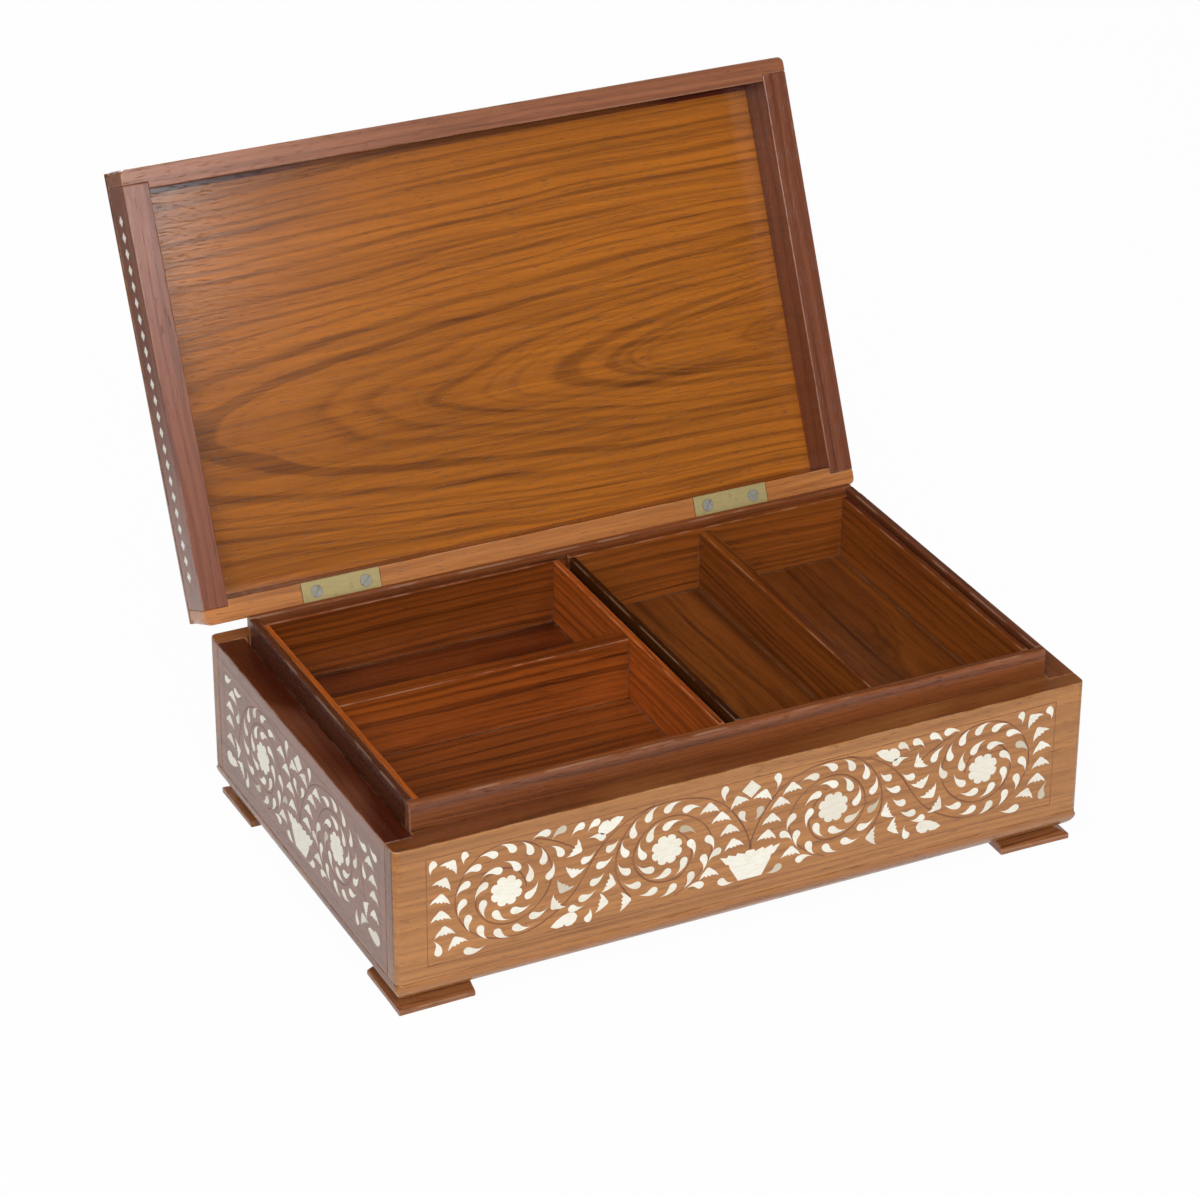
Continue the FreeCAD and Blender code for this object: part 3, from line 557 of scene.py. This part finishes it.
# Hinges: two small brass butt hinges let in flush at the back, each with three rolled knuckles on a
# pin. The brass has dulled to an olive yellow with brown spots, and is brighter where it was rubbed.
LEAF_PROUD = 0.08 * MM
brass = bpy.data.materials.new("aged_brass")
brass.use_nodes = True
tree = brass.node_tree
shader = tree.nodes["Principled BSDF"]
shader.inputs["Metallic"].default_value = 0.2
place = add_node(tree, "ShaderNodeTexCoord").outputs["Object"]
mottle = stretched_noise(tree, place, (220, 220, 220), 4).outputs[0]
scratch = stretched_noise(tree, place, (150, 2200, 2200), 2).outputs[0]
spots = ramp(tree, mottle, 0.6, 0.8)
bright = mix_colours(tree, scratch, colour(190, 172, 118), colour(160, 142, 92))
tarnished = mix_colours(tree, spots, bright, colour(146, 128, 84))
tree.links.new(tarnished, shader.inputs["Base Color"])
tree.links.new(reckon(tree, "MULTIPLY_ADD", mottle, 0.2, 0.35), shader.inputs["Roughness"])
scratched = add_node(tree, "ShaderNodeBump", {"Height": scratch, "Strength": 0.2, "Distance": 0.0001})
tree.links.new(scratched.outputs[0], shader.inputs["Normal"])
for side in ("left", "right"):
    for part in ("base_leaf", "lid_leaf", "pin"):
        node = frame["nodes"][f"{side}_hinge_{part}"]
        node.data.materials.clear()
        node.data.materials.append(brass)
        proud = node.modifiers.new("proud_leaf", "DISPLACE")
        proud.strength = LEAF_PROUD
        proud.mid_level = 0
        node.modifiers.new("crisp_edges", "EDGE_SPLIT").split_angle = SHARP


# Screws: slotted steel countersunk screws, two in each leaf, dull grey with dark slots that stand
# at any angle, as they were driven by hand.
HEAD_RADIUS = 2.8 * MM
HEAD_DEPTH = 1.2 * MM
SLOT_WIDTH = 0.7 * MM
SLOT_DEPTH = 0.5 * MM
SCREW_INSET = 7 * MM
SCREW_PROUD = 1.5 * LEAF_PROUD
steel = bpy.data.materials.new("screw_steel")
steel.use_nodes = True
tree = steel.node_tree
shader = tree.nodes["Principled BSDF"]
shader.inputs["Metallic"].default_value = 0.2
place = add_node(tree, "ShaderNodeTexCoord").outputs["Object"]
dull = stretched_noise(tree, place, (500, 500, 500), 3).outputs[0]
dulled = mix_colours(tree, dull, colour(172, 170, 160), colour(120, 117, 107))
tree.links.new(dulled, shader.inputs["Base Color"])
tree.links.new(reckon(tree, "MULTIPLY_ADD", dull, 0.3, 0.3), shader.inputs["Roughness"])


def screw_head(bm, place):
    """A slotted head, its flat face at the place's origin and facing its Z."""
    made = bmesh.ops.create_cone(bm, cap_ends=True, segments=24, radius1=HEAD_RADIUS / 2, radius2=HEAD_RADIUS,
                                 depth=HEAD_DEPTH, matrix=Matrix.Translation((0, 0, -HEAD_DEPTH / 2)))
    faces = list({face for vert in made["verts"] for face in vert.link_faces})
    for offset in (SLOT_WIDTH / 2, -SLOT_WIDTH / 2):
        geom = [part for face in faces if face.is_valid for part in (face, *face.edges, *face.verts)]
        split = bmesh.ops.bisect_plane(bm, geom=list(dict.fromkeys(geom)), plane_co=(0, offset, 0),
                                       plane_no=(0, 1, 0))
        faces = [part for part in split["geom"] if isinstance(part, bmesh.types.BMFace)]
    floor_of_slot = [face for face in faces
                     if face.normal.z > 0.9 and abs(face.calc_center_median().y) < SLOT_WIDTH / 4]
    sunk = bmesh.ops.extrude_face_region(bm, geom=floor_of_slot)["geom"]
    bmesh.ops.delete(bm, geom=floor_of_slot, context="FACES_ONLY")
    low_verts = [part for part in sunk if isinstance(part, bmesh.types.BMVert)]
    bmesh.ops.translate(bm, vec=(0, 0, -SLOT_DEPTH), verts=low_verts)
    verts = list({vert for face in faces if face.is_valid for vert in face.verts} | set(low_verts))
    bmesh.ops.transform(bm, matrix=place, verts=verts)


rim_level = front_high.z
screw_line = (rail_back[0].y + rail_back[1].y) / 2
for body, level, upright in (("base", rim_level, 0), ("lid", rail_back[0].z, 180)):
    screws = bmesh.new()
    for side in ("left", "right"):
        low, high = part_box(f"{side}_hinge_pin")
        for x in (low.x + SCREW_INSET, high.x - SCREW_INSET):
            seat = Matrix.Translation((x, screw_line, level))
            seat = seat @ Matrix.Rotation(math.radians(upright), 4, "X")
            seat = seat @ Matrix.Translation((0, 0, SCREW_PROUD))
            head = bmesh.new()
            screw_head(head, seat @ Matrix.Rotation(draw.uniform(0, math.pi), 4, "Z"))
            part = bpy.data.meshes.new("screw")
            head.to_mesh(part)
            head.free()
            screws.from_mesh(part)
            bpy.data.meshes.remove(part)
    bmesh.ops.recalc_face_normals(screws, faces=screws.faces)
    if body == "lid":
        bmesh.ops.transform(screws, matrix=lid_opens, verts=screws.verts)
    put_together(f"{body}_screw_heads", screws, steel, body, "steel", f"{body}_hinge_screws")


# Bone inlay: small pieces sawn from bone and let into the front and side walls, in scrolls round
# flowers with a cup and a diamond in the middle. Each is creamy white, a few are grey and thin.
PANEL_HALF = 25.5
PROUD = 0.06
INLAY_DEPTH = 1.2
ROSETTE_RADIUS = 7.3
ROSETTE_LIFT = 1.5
COMMA_RADIUS = 1.7
COMMA_FULLNESS = 1.95
COMMA_TAPER = 1.7
COMMA_SWAY = 0.7
LEAFLET = 9.4
BUD = 12.8
PETALS = 8
PETAL_SHARES = (0.8, 0.96, 1, 1.02, 1, 0.96)
USUAL_TINT, TINT_SPREAD = 0.05, 0.1
GREY_CHANCE, GREY_TINT = 0.04, 0.6
bone = bpy.data.materials.new("old_bone")
bone.use_nodes = True
tree = bone.node_tree
shader = tree.nodes["Principled BSDF"]
place = add_node(tree, "ShaderNodeTexCoord").outputs["Object"]
tint = add_node(tree, "ShaderNodeAttribute", attribute_name="tint").outputs["Fac"]
vein = stretched_noise(tree, place, (300, 300, 900), 2).outputs[0]
creamy = mix_colours(tree, ramp(tree, vein, 0.35, 0.8), colour(246, 243, 230), colour(238, 231, 212))
greyed = mix_colours(tree, tint, creamy, colour(176, 156, 124))
tree.links.new(greyed, shader.inputs["Base Color"])
tree.links.new(reckon(tree, "MULTIPLY_ADD", vein, 0.2, 0.3), shader.inputs["Roughness"])


def lay_chip(bm, verts):
    """Gives a flat chip of bone its thickness, and a tint of its own."""
    layer = bm.faces.layers.float["tint"]
    face = bm.faces.new(verts) if not verts[0].link_faces else verts[0].link_faces[0]
    grown = bmesh.ops.extrude_face_region(bm, geom=[face])["geom"]
    sunk = [part for part in grown if isinstance(part, bmesh.types.BMVert)]
    bmesh.ops.translate(bm, vec=(0, 0, -INLAY_DEPTH), verts=sunk)
    shade = max(0, draw.gauss(USUAL_TINT, TINT_SPREAD)) + (GREY_TINT if draw.random() < GREY_CHANCE else 0)
    for side in {side for vert in (*verts, *sunk) for side in vert.link_faces}:
        side[layer] = min(shade, 1)


def comma(bm, head, tip, bend):
    """A drop-shaped leaf with a round head and a tail that bends to a point."""
    axis = (tip - head).normalized()
    start = head - axis * COMMA_RADIUS
    length = (tip - start).length
    across = Vector((-axis.y, axis.x))
    made = bmesh.ops.create_circle(bm, cap_ends=True, segments=20, radius=1)
    for vert in made["verts"]:
        share = (1 - vert.co.x) / 2
        width = vert.co.y * (1 - share) ** COMMA_TAPER * COMMA_RADIUS * COMMA_FULLNESS
        sway = bend * length * COMMA_SWAY * (share * share - share)
        slope = bend * COMMA_SWAY * (2 * share - 1)
        sideways = (across - axis * slope).normalized()
        place = start + axis * (share * length) + across * sway + sideways * width
        vert.co = (place.x, place.y, PROUD)
    lay_chip(bm, made["verts"])


LEAFLET_SHARES = ((-0.5, -0.2), (-0.36, 0.02), (-0.2, 0.16), (-0.06, 0.3), (0.06, 0.31), (0.2, 0.17),
                  (0.36, 0), (0.5, -0.26), (0.33, -0.16), (0.22, -0.17), (0.17, -0.1), (0.06, -0.19),
                  (-0.03, -0.1), (-0.14, -0.17), (-0.22, -0.08), (-0.34, -0.13))
BUD_SHARES = ((0.5, 0.02), (0.3, 0.16), (0.08, 0.18), (0.02, 0.12), (-0.06, 0.24), (-0.24, 0.26),
              (-0.42, 0.16), (-0.5, 0), (-0.42, -0.17), (-0.24, -0.25), (0.02, -0.22), (0.28, -0.12))


def cut_leaf(bm, outline, length, middle, degrees):
    """A leaf sawn to an outline given in shares of its length."""
    way = Matrix.Rotation(math.radians(degrees), 2)
    places = [middle + way @ (Vector(point) * length) for point in outline]
    lay_chip(bm, [bm.verts.new((place.x, place.y, PROUD)) for place in places])


def rosette(bm, middle):
    """A round flower with a short nick between its eight petals."""
    points = len(PETAL_SHARES)
    made = bmesh.ops.create_circle(bm, cap_ends=True, segments=PETALS * points, radius=1)
    for number, vert in enumerate(made["verts"]):
        petal = PETAL_SHARES[number % points]
        place = middle + vert.co.xy * ROSETTE_RADIUS * petal
        vert.co = (place.x, place.y, PROUD)
    lay_chip(bm, made["verts"])


def swirl(bm, mirror, middle, radii, count, start, step, lead):
    """Commas in a ring round a rosette, all leaning one way, or the other way in a mirror image."""
    if mirror < 0:
        start, step, lead = 180 - start, -step, -lead
    for number in range(count):
        head_way = math.radians(start + number * step)
        tip_way = head_way + math.radians(lead)
        head = middle + Vector((math.cos(head_way), math.sin(head_way))) * radii[0]
        tip = middle + Vector((math.cos(tip_way), math.sin(tip_way))) * radii[1]
        comma(bm, head, tip, 1 if lead > 0 else -1)


def spray(bm, mirror, anchor, commas=(), leaflets=(), buds=()):
    """Loose leaves, placed from an anchor in shares of half the panel's height."""
    for head_u, head_v, tip_u, tip_v in commas:
        head = Vector((mirror * (anchor + head_u * PANEL_HALF), head_v * PANEL_HALF))
        tip = Vector((mirror * (anchor + tip_u * PANEL_HALF), tip_v * PANEL_HALF))
        comma(bm, head, tip, mirror)
    for outline, length, spots in ((LEAFLET_SHARES, LEAFLET, leaflets), (BUD_SHARES, BUD, buds)):
        for u, v, degrees in spots:
            shape = [(mirror * point[0], point[1]) for point in outline]
            middle = Vector((mirror * (anchor + u * PANEL_HALF), v * PANEL_HALF))
            cut_leaf(bm, shape, length, middle, mirror * degrees)


NEAR_RING = (10.3, 14.6)
NEAR_LEAD = 31
NEAR_STEP = 360 / PETALS
FAR_RING = (18.9, 23.2)
FAR_LEAD = 16
FAR_OPENING = 1.3
INNER_FAR_COUNT, INNER_FAR_START = 12, 61
OUTER_FAR_COUNT, OUTER_FAR_START = 13, 7
OUTER_NEAR_START = 20
CENTRE_COMMAS = ((-0.46, 0.92, -0.46, 0.67), (-0.14, 0.38, -0.04, 0.18), (-0.6, -0.26, -0.8, -0.42),
                 (-0.52, -0.82, -0.29, -0.91), (-0.95, -0.84, -1.2, -0.81))
CENTRE_LEAFLETS = ((-0.24, 0.64, 20), (-0.78, 0.64, 0), (-0.56, 0.41, 0), (-0.4, 0.13, 5),
                   (-0.32, -0.17, 10), (-0.78, -0.62, 5))
BETWEEN_COMMAS = ((0.39, 0.39, 0.57, 0.51), (0.22, 0.12, 0.47, 0.22), (0.1, -0.18, 0.31, -0.06),
                  (-0.1, -0.43, 0.16, -0.35), (-0.27, -0.58, -0.05, -0.6), (-0.02, -0.87, 0.04, -0.67),
                  (-0.06, 0.29, 0.14, 0.39), (0.25, 0.59, 0, 0.65), (-0.1, 0.9, -0.29, 0.77),
                  (0.18, 0.9, 0, 0.77), (-0.73, 0.93, -1, 0.9), (-0.43, 0.93, -0.65, 0.78),
                  (-0.51, 0.49, -0.69, 0.71))
BETWEEN_LEAFLETS = ((-0.24, 0.09, 165), (-0.43, -0.16, 150), (-0.57, -0.45, 130), (-0.2, 0.51, -120),
                    (0.27, -0.65, -100), (0.69, -0.73, -90), (0.41, -0.31, -110))
BETWEEN_BUDS = ((0.43, 0.82, 20), (-0.43, -0.82, 190))
END_COMMAS = ((0.13, 0.88, 0.06, 0.69), (0.69, 0.91, 0.65, 0.75), (0.69, -0.87, 1.02, -0.875),
              (0.13, -0.8, 0.06, -0.53))
END_LEAFLETS = ((0.41, 0.8, -35), (0.27, 0.5, -25), (0.22, 0.2, -8), (0.22, -0.12, 0), (0.28, -0.43, 5),
                (0.49, -0.68, 20))
SIDE_COMMAS = ((0.12, 0.82, 0.37, 0.93), (0.55, 0.78, 0.86, 0.84), (0.57, 0.22, 0.63, 0.45),
               (0.92, -0.88, 0.94, -0.63))
SIDE_LEAFLETS = ((0.39, 0.57, 0), (0.25, 0.29, 0), (0.22, 0, 0), (0.22, -0.37, 0), (0.56, -0.4, -70),
                 (0.68, -0.7, -30))
SIDE_BUDS = ((0.26, -0.78, 0),)
CUP_SHARES = ((-0.57, -0.38), (-0.44, -0.42), (-0.41, -0.37), (-0.27, -0.42), (-0.24, -0.37), (-0.1, -0.42),
              (-0.07, -0.37), (0.07, -0.37), (0.1, -0.42), (0.24, -0.37), (0.27, -0.42), (0.41, -0.37),
              (0.44, -0.42), (0.57, -0.38), (0.46, -0.54), (0.4, -0.56), (0.38, -0.64), (0.22, -0.92),
              (-0.22, -0.92), (-0.38, -0.64), (-0.4, -0.56), (-0.46, -0.54))
DIAMOND_SHARES = ((-0.18, 0.82), (0, 0.99), (0.18, 0.82), (0, 0.65))


def centre_group(bm, rosette_u):
    """What every panel has in the middle: a pair of scrolls, and a cup under a diamond."""
    for mirror in (1, -1):
        middle = Vector((-mirror * rosette_u, ROSETTE_LIFT))
        rosette(bm, middle)
        far_step = 360 / (INNER_FAR_COUNT + FAR_OPENING)
        swirl(bm, mirror, middle, NEAR_RING, PETALS, 0, NEAR_STEP, -NEAR_LEAD)
        swirl(bm, mirror, middle, FAR_RING, INNER_FAR_COUNT, INNER_FAR_START, far_step, -FAR_LEAD)
        spray(bm, mirror, 0, CENTRE_COMMAS, CENTRE_LEAFLETS)
    for outline in (CUP_SHARES, DIAMOND_SHARES):
        cut_leaf(bm, outline, PANEL_HALF, Vector((0, 0)), 0)


def new_inlay():
    """An empty mesh for chips of bone, each with a tint."""
    bm = bmesh.new()
    bm.faces.layers.float.new("tint")
    return bm


INNER_ROSETTE = 40
OUTER_ROSETTE = 114.5
SIDE_ROSETTE = 41.5
FRONT_HALF = 150
SIDE_HALF = 86.5
panel_z = (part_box("front_inlay")[0].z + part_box("front_inlay")[1].z) / 2
side_y = (bottom_low.y + bottom_high.y) / 2
turn_up = Matrix.Rotation(math.radians(90), 4, "X")
to_metres = Matrix.Scale(MM, 4)
front_place = Matrix.Translation((0, front_low.y, panel_z)) @ turn_up @ to_metres
left_place = (Matrix.Translation((left_low.x, side_y, panel_z)) @ Matrix.Rotation(math.radians(-90), 4, "Z")
              @ turn_up @ to_metres)
right_place = (Matrix.Translation((right_high.x, side_y, panel_z)) @ Matrix.Rotation(math.radians(90), 4, "Z")
               @ turn_up @ to_metres)

front_bone = new_inlay()
centre_group(front_bone, INNER_ROSETTE)
for mirror in (1, -1):
    outer = Vector((-mirror * OUTER_ROSETTE, ROSETTE_LIFT))
    rosette(front_bone, outer)
    far_step = 360 / (OUTER_FAR_COUNT + FAR_OPENING)
    swirl(front_bone, mirror, outer, NEAR_RING, PETALS, OUTER_NEAR_START, NEAR_STEP, NEAR_LEAD)
    swirl(front_bone, mirror, outer, FAR_RING, OUTER_FAR_COUNT, OUTER_FAR_START, far_step, FAR_LEAD)
    between = -(INNER_ROSETTE + OUTER_ROSETTE) / 2
    spray(front_bone, mirror, between, BETWEEN_COMMAS, BETWEEN_LEAFLETS, BETWEEN_BUDS)
    spray(front_bone, mirror, -FRONT_HALF, END_COMMAS, END_LEAFLETS)
bmesh.ops.transform(front_bone, matrix=front_place, verts=front_bone.verts)
bmesh.ops.recalc_face_normals(front_bone, faces=front_bone.faces)
put_together("front_bone", front_bone, bone, "base", "bone", "front_inlay")

for side, place in (("left", left_place), ("right", right_place)):
    side_bone = new_inlay()
    centre_group(side_bone, SIDE_ROSETTE)
    for mirror in (1, -1):
        spray(side_bone, mirror, -SIDE_HALF, SIDE_COMMAS, SIDE_LEAFLETS, SIDE_BUDS)
    bmesh.ops.transform(side_bone, matrix=place, verts=side_bone.verts)
    bmesh.ops.recalc_face_normals(side_bone, faces=side_bone.faces)
    put_together(f"{side}_bone", side_bone, bone, "base", "bone", f"{side}_inlay")


# Vines: fine lines cut into the walls and filled red brown, which run from the cup over the inner
# flowers and down into the outer ones, and curl round each flower. A fainter line frames every panel.
VINE_RADIUS = 0.36
BORDER_RADIUS = 0.26
VINE_FLATNESS = 0.1
BORDER_GAP = 0.6
fillers = []
for name, fresh, worn in (("front_filler", (126, 73, 43), (152, 97, 58)),
                          ("side_filler", (112, 66, 48), (134, 84, 62))):
    filler = bpy.data.materials.new(name)
    filler.use_nodes = True
    tree = filler.node_tree
    shader = tree.nodes["Principled BSDF"]
    place = add_node(tree, "ShaderNodeTexCoord").outputs["Object"]
    faded = stretched_noise(tree, place, (90, 90, 90), 3).outputs[0]
    filler_colour = mix_colours(tree, ramp(tree, faded, 0.35, 0.7), colour(*fresh), colour(*worn))
    tree.links.new(filler_colour, shader.inputs["Base Color"])
    tree.links.new(reckon(tree, "MULTIPLY_ADD", faded, 0.2, 0.3), shader.inputs["Roughness"])
    fillers.append(filler)
STEM = ((-0.5, -9), (1, -1.5), (5.5, 7.4), (11.5, 15.8), (20, 21.8), (32, 25), (44.4, 25), (53.2, 23.2),
        (62.1, 19.3), (70, 12.9), (75.8, 4.8), (80.5, -4.1), (86.2, -11.1), (92.9, -16), (100.7, -20.1),
        (108.4, -22))
OUTER_CURL = ((-75, 23.2), (-55, 23), (-35, 23.5), (-10, 24.2), (15, 24.2), (48, 24), (70, 23.9), (91, 23.6),
              (115, 24.2), (138, 23.6), (156, 22.3), (174, 21.4), (190, 20.2), (215, 18.4), (245, 17.3),
              (270, 16.8), (300, 16.3), (330, 15.5), (355, 14.7), (385, 14.2), (420, 13.4), (460, 12),
              (500, 10.5), (540, 9.2))
INNER_CURL = ((262, 24.2), (235, 23.6), (210, 23.2), (187, 22.4), (167, 20.8), (147, 18.8), (126, 17.6),
              (107, 16.8), (81, 16.2), (59, 16), (28, 16), (1, 16.3), (-22, 16.6), (-60, 17), (-98, 16.8),
              (-120, 16), (-144, 14.4), (-172, 12.2), (-205, 10.4), (-235, 9.2))
BRANCH = ((46, 25), (50, 24), (54.8, 20.7), (59.4, 15.5), (63.3, 7.9), (64.5, -0.2), (63.7, -6.7),
          (61.2, -11.7), (57.1, -17.3))
SPRIG = ((101, 23.4), (94.6, 21.3), (87.2, 17.6), (82, 12.8))
SIDE_STEM = ((-0.5, -9), (1, -1.5), (5.5, 7.4), (12, 17), (22, 22.5), (34, 25), (47, 24), (59, 19), (66, 10),
             (70, -1), (72, -10))


def curled(middle_u, turns):
    """Points round a rosette, given by their angle and radius."""
    return [(middle_u + math.cos(math.radians(angle)) * radius,
             ROSETTE_LIFT + math.sin(math.radians(angle)) * radius) for angle, radius in turns]


def drawn_lines(runs, radius, closed):
    """Lines of one width along runs of points, as a mesh."""
    curve = bpy.data.curves.new("line", "CURVE")
    curve.dimensions = "3D"
    curve.bevel_depth = radius
    curve.bevel_resolution = 1
    curve.resolution_u = 6
    for run in runs:
        spline = curve.splines.new("POLY" if closed else "NURBS")
        spline.points.add(len(run) - 1)
        for point, (u, v) in zip(spline.points, run):
            point.co = (u, v, 0, 1)
        spline.use_cyclic_u = closed
        if not closed:
            spline.order_u = min(4, len(run))
            spline.use_endpoint_u = True
    holder = bpy.data.objects.new("line", curve)
    mesh = bpy.data.meshes.new_from_object(holder)
    bpy.data.objects.remove(holder)
    bpy.data.curves.remove(curve)
    return mesh


def vine_lines(runs, half_run):
    """The lines of one panel: each run and its mirror image, inside a plain frame."""
    mirrored = [[(-u, v) for u, v in run] for run in runs]
    half_rise = PANEL_HALF + BORDER_GAP
    border = [(u * half_run, v * half_rise) for u, v in ((-1, -1), (1, -1), (1, 1), (-1, 1))]
    bm = bmesh.new()
    for lines, radius, closed in (((*runs, *mirrored), VINE_RADIUS, False), ((border,), BORDER_RADIUS, True)):
        mesh = drawn_lines(lines, radius, closed)
        bm.from_mesh(mesh)
        bpy.data.meshes.remove(mesh)
    bmesh.ops.scale(bm, vec=(1, 1, VINE_FLATNESS), verts=bm.verts)
    return bm


front_runs = (STEM + tuple(curled(OUTER_ROSETTE, OUTER_CURL)), curled(INNER_ROSETTE, INNER_CURL), BRANCH,
              SPRIG)
side_runs = (SIDE_STEM, curled(SIDE_ROSETTE, INNER_CURL))
for side, runs, half_run, place in (("front", front_runs, FRONT_HALF + BORDER_GAP, front_place),
                                    ("left", side_runs, SIDE_HALF + BORDER_GAP, left_place),
                                    ("right", side_runs, SIDE_HALF + BORDER_GAP, right_place)):
    vines = vine_lines(runs, half_run)
    bmesh.ops.transform(vines, matrix=place, verts=vines.verts)
    bmesh.ops.recalc_face_normals(vines, faces=vines.faces)
    put_together(f"{side}_vines", vines, fillers[0] if side == "front" else fillers[1], "base", "case_wood")


# Lid diamonds: a row of small bone diamonds let into each side rail of the lid, evenly spaced along
# the middle of the rail and sawn from the same bone as the panels.
STUD_HALF = 2.5 * MM
STUD_COUNT = 23
for side, outward in (("left", -1), ("right", 1)):
    low, high = shut_box(f"lid_{side}_diamonds")
    face_x = low.x if outward < 0 else high.x
    studs = new_inlay()
    pitch = (high.y - low.y - 2 * STUD_HALF) / (STUD_COUNT - 1)
    row_z = (low.z + high.z) / 2
    for number in range(STUD_COUNT):
        seat = Vector((face_x + outward * PROUD * MM, low.y + STUD_HALF + number * pitch, row_z))
        stud_place = Matrix.Translation(seat) @ Matrix.Rotation(math.radians(90), 4, "Y")
        made = bmesh.ops.create_circle(studs, cap_ends=True, segments=4, radius=STUD_HALF, matrix=stud_place)
        grown = bmesh.ops.extrude_face_region(studs, geom=[made["verts"][0].link_faces[0]])["geom"]
        sunk = [part for part in grown if isinstance(part, bmesh.types.BMVert)]
        bmesh.ops.translate(studs, vec=(-outward * INLAY_DEPTH * MM, 0, 0), verts=sunk)
    bmesh.ops.transform(studs, matrix=lid_opens, verts=studs.verts)
    bmesh.ops.recalc_face_normals(studs, faces=studs.faces)
    put_together(f"lid_{side}_studs", studs, bone, "lid", "bone", f"lid_{side}_diamonds")


# Floor: a wide white sheet under the box. It shows white, keeps a little of the box's shadow, and fades
# away from the box where polished wood mirrors it.
FLOOR_SPAN = 40
PAPER_NEAR, PAPER_FAR = 0.28, 0.6
PAPER_FADE = 0.8
PAPER_WHITENESS = 0.97
floor_bm = bmesh.new()
bmesh.ops.create_grid(floor_bm, x_segments=1, y_segments=1, size=FLOOR_SPAN / 2)
floor_mesh = bpy.data.meshes.new("floor")
floor_bm.to_mesh(floor_mesh)
floor_bm.free()
floor = bpy.data.objects.new("floor", floor_mesh)
scene.collection.objects.link(floor)
paper = bpy.data.materials.new("floor_paper")
paper.use_nodes = True
tree = paper.node_tree
shader = tree.nodes["Principled BSDF"]
shader.inputs["Base Color"].default_value = (0.82, 0.82, 0.82, 1)
shader.inputs["Roughness"].default_value = 0.9
glow = add_node(tree, "ShaderNodeEmission")
rays = add_node(tree, "ShaderNodeLightPath").outputs
far_off = add_node(tree, "ShaderNodeVectorMath", {0: add_node(tree, "ShaderNodeTexCoord").outputs["Object"]},
                   operation="LENGTH").outputs["Value"]
near_paper = reckon(tree, "MULTIPLY_ADD", ramp(tree, far_off, PAPER_NEAR, PAPER_FAR), -PAPER_FADE, 1)
tree.links.new(reckon(tree, "MAXIMUM", rays["Is Camera Ray"], near_paper), glow.inputs["Strength"])
seen = reckon(tree, "MAXIMUM", rays["Is Camera Ray"], rays["Is Glossy Ray"])
seen = reckon(tree, "MAXIMUM", seen, rays["Is Transmission Ray"])
seen = reckon(tree, "MULTIPLY", seen, PAPER_WHITENESS)
whitened = add_node(tree, "ShaderNodeMixShader", {0: seen, 1: shader.outputs[0], 2: glow.outputs[0]})
tree.links.new(whitened.outputs[0], tree.nodes["Material Output"].inputs["Surface"])
floor.data.materials.append(paper)


# Light: a wide softbox in front, weaker ones at the back, on the left and overhead, and a pale room.
# One small lamp in front makes the glare in the top left corner of the lid's panel.
room = bpy.data.worlds.new("room")
room.use_nodes = True
room.node_tree.nodes["Background"].inputs["Color"].default_value = (1, 1, 1, 1)
room.node_tree.nodes["Background"].inputs["Strength"].default_value = 0.08
scene.world = room


def softbox(name, place, aim, width, depth, watts):
    """A flat rectangular lamp that looks at a point."""
    lamp = bpy.data.lights.new(name, "AREA")
    lamp.shape = "RECTANGLE"
    lamp.size, lamp.size_y = width, depth
    lamp.energy = watts
    holder = bpy.data.objects.new(name, lamp)
    holder.location = place
    holder.rotation_euler = (Vector(aim) - Vector(place)).to_track_quat("-Z", "Y").to_euler()
    scene.collection.objects.link(holder)


softbox("front_softbox", (-0.7, -2.1, 1.6), (0, -0.05, 0.1), 2.4, 1, 54)
softbox("glare_softbox", (0.52, -2.1, 1.31), (0, 0.1, 0.2), 0.22, 0.18, 3.7)
softbox("back_softbox", (0.1, 2.2, 0.8), (0, 0, 0.1), 1, 0.8, 18)
softbox("left_softbox", (-2.0, -0.4, 1.3), (0, -0.05, 0.1), 1.4, 1, 9)
softbox("top_softbox", (-0.4, 0.0, 2.2), (0, -0.05, 0), 2, 2, 12)


# Camera: the photograph's view, from the front left and above, with a long lens that is shifted a
# little to one side and rolled by under a degree.
CAMERA_AIM = Vector((0, -0.05868, 0.110))
CAMERA_AZIMUTH, CAMERA_ELEVATION, CAMERA_ROLL = -27.445, 28.939, 0.924
CAMERA_DISTANCE = 1.8182
CAMERA_SIDEWAYS, CAMERA_UPWARD = 0.01866, -0.01634
LENS_LENGTH, SENSOR_WIDTH = 124.605, 36
LENS_SHIFT = (-0.075, 0.035)
azimuth = math.radians(CAMERA_AZIMUTH)
elevation = math.radians(CAMERA_ELEVATION)
roll = math.radians(CAMERA_ROLL)
level_out = math.cos(elevation)
back = Vector((math.sin(azimuth) * level_out, -math.cos(azimuth) * level_out, math.sin(elevation)))
level_right = Vector((math.cos(azimuth), math.sin(azimuth), 0))
level_up = back.cross(level_right)
right = level_right * math.cos(roll) + level_up * math.sin(roll)
up = level_up * math.cos(roll) - level_right * math.sin(roll)
lens = bpy.data.cameras.new("camera")
lens.lens = LENS_LENGTH
lens.sensor_width = SENSOR_WIDTH
lens.shift_x, lens.shift_y = LENS_SHIFT
camera = bpy.data.objects.new("camera", lens)
eye = CAMERA_AIM + back * CAMERA_DISTANCE + right * CAMERA_SIDEWAYS + up * CAMERA_UPWARD
camera.matrix_world = Matrix.Translation(eye) @ Matrix((right, up, back)).transposed().to_4x4()
scene.collection.objects.link(camera)
scene.camera = camera
scene.view_settings.view_transform = "Standard"
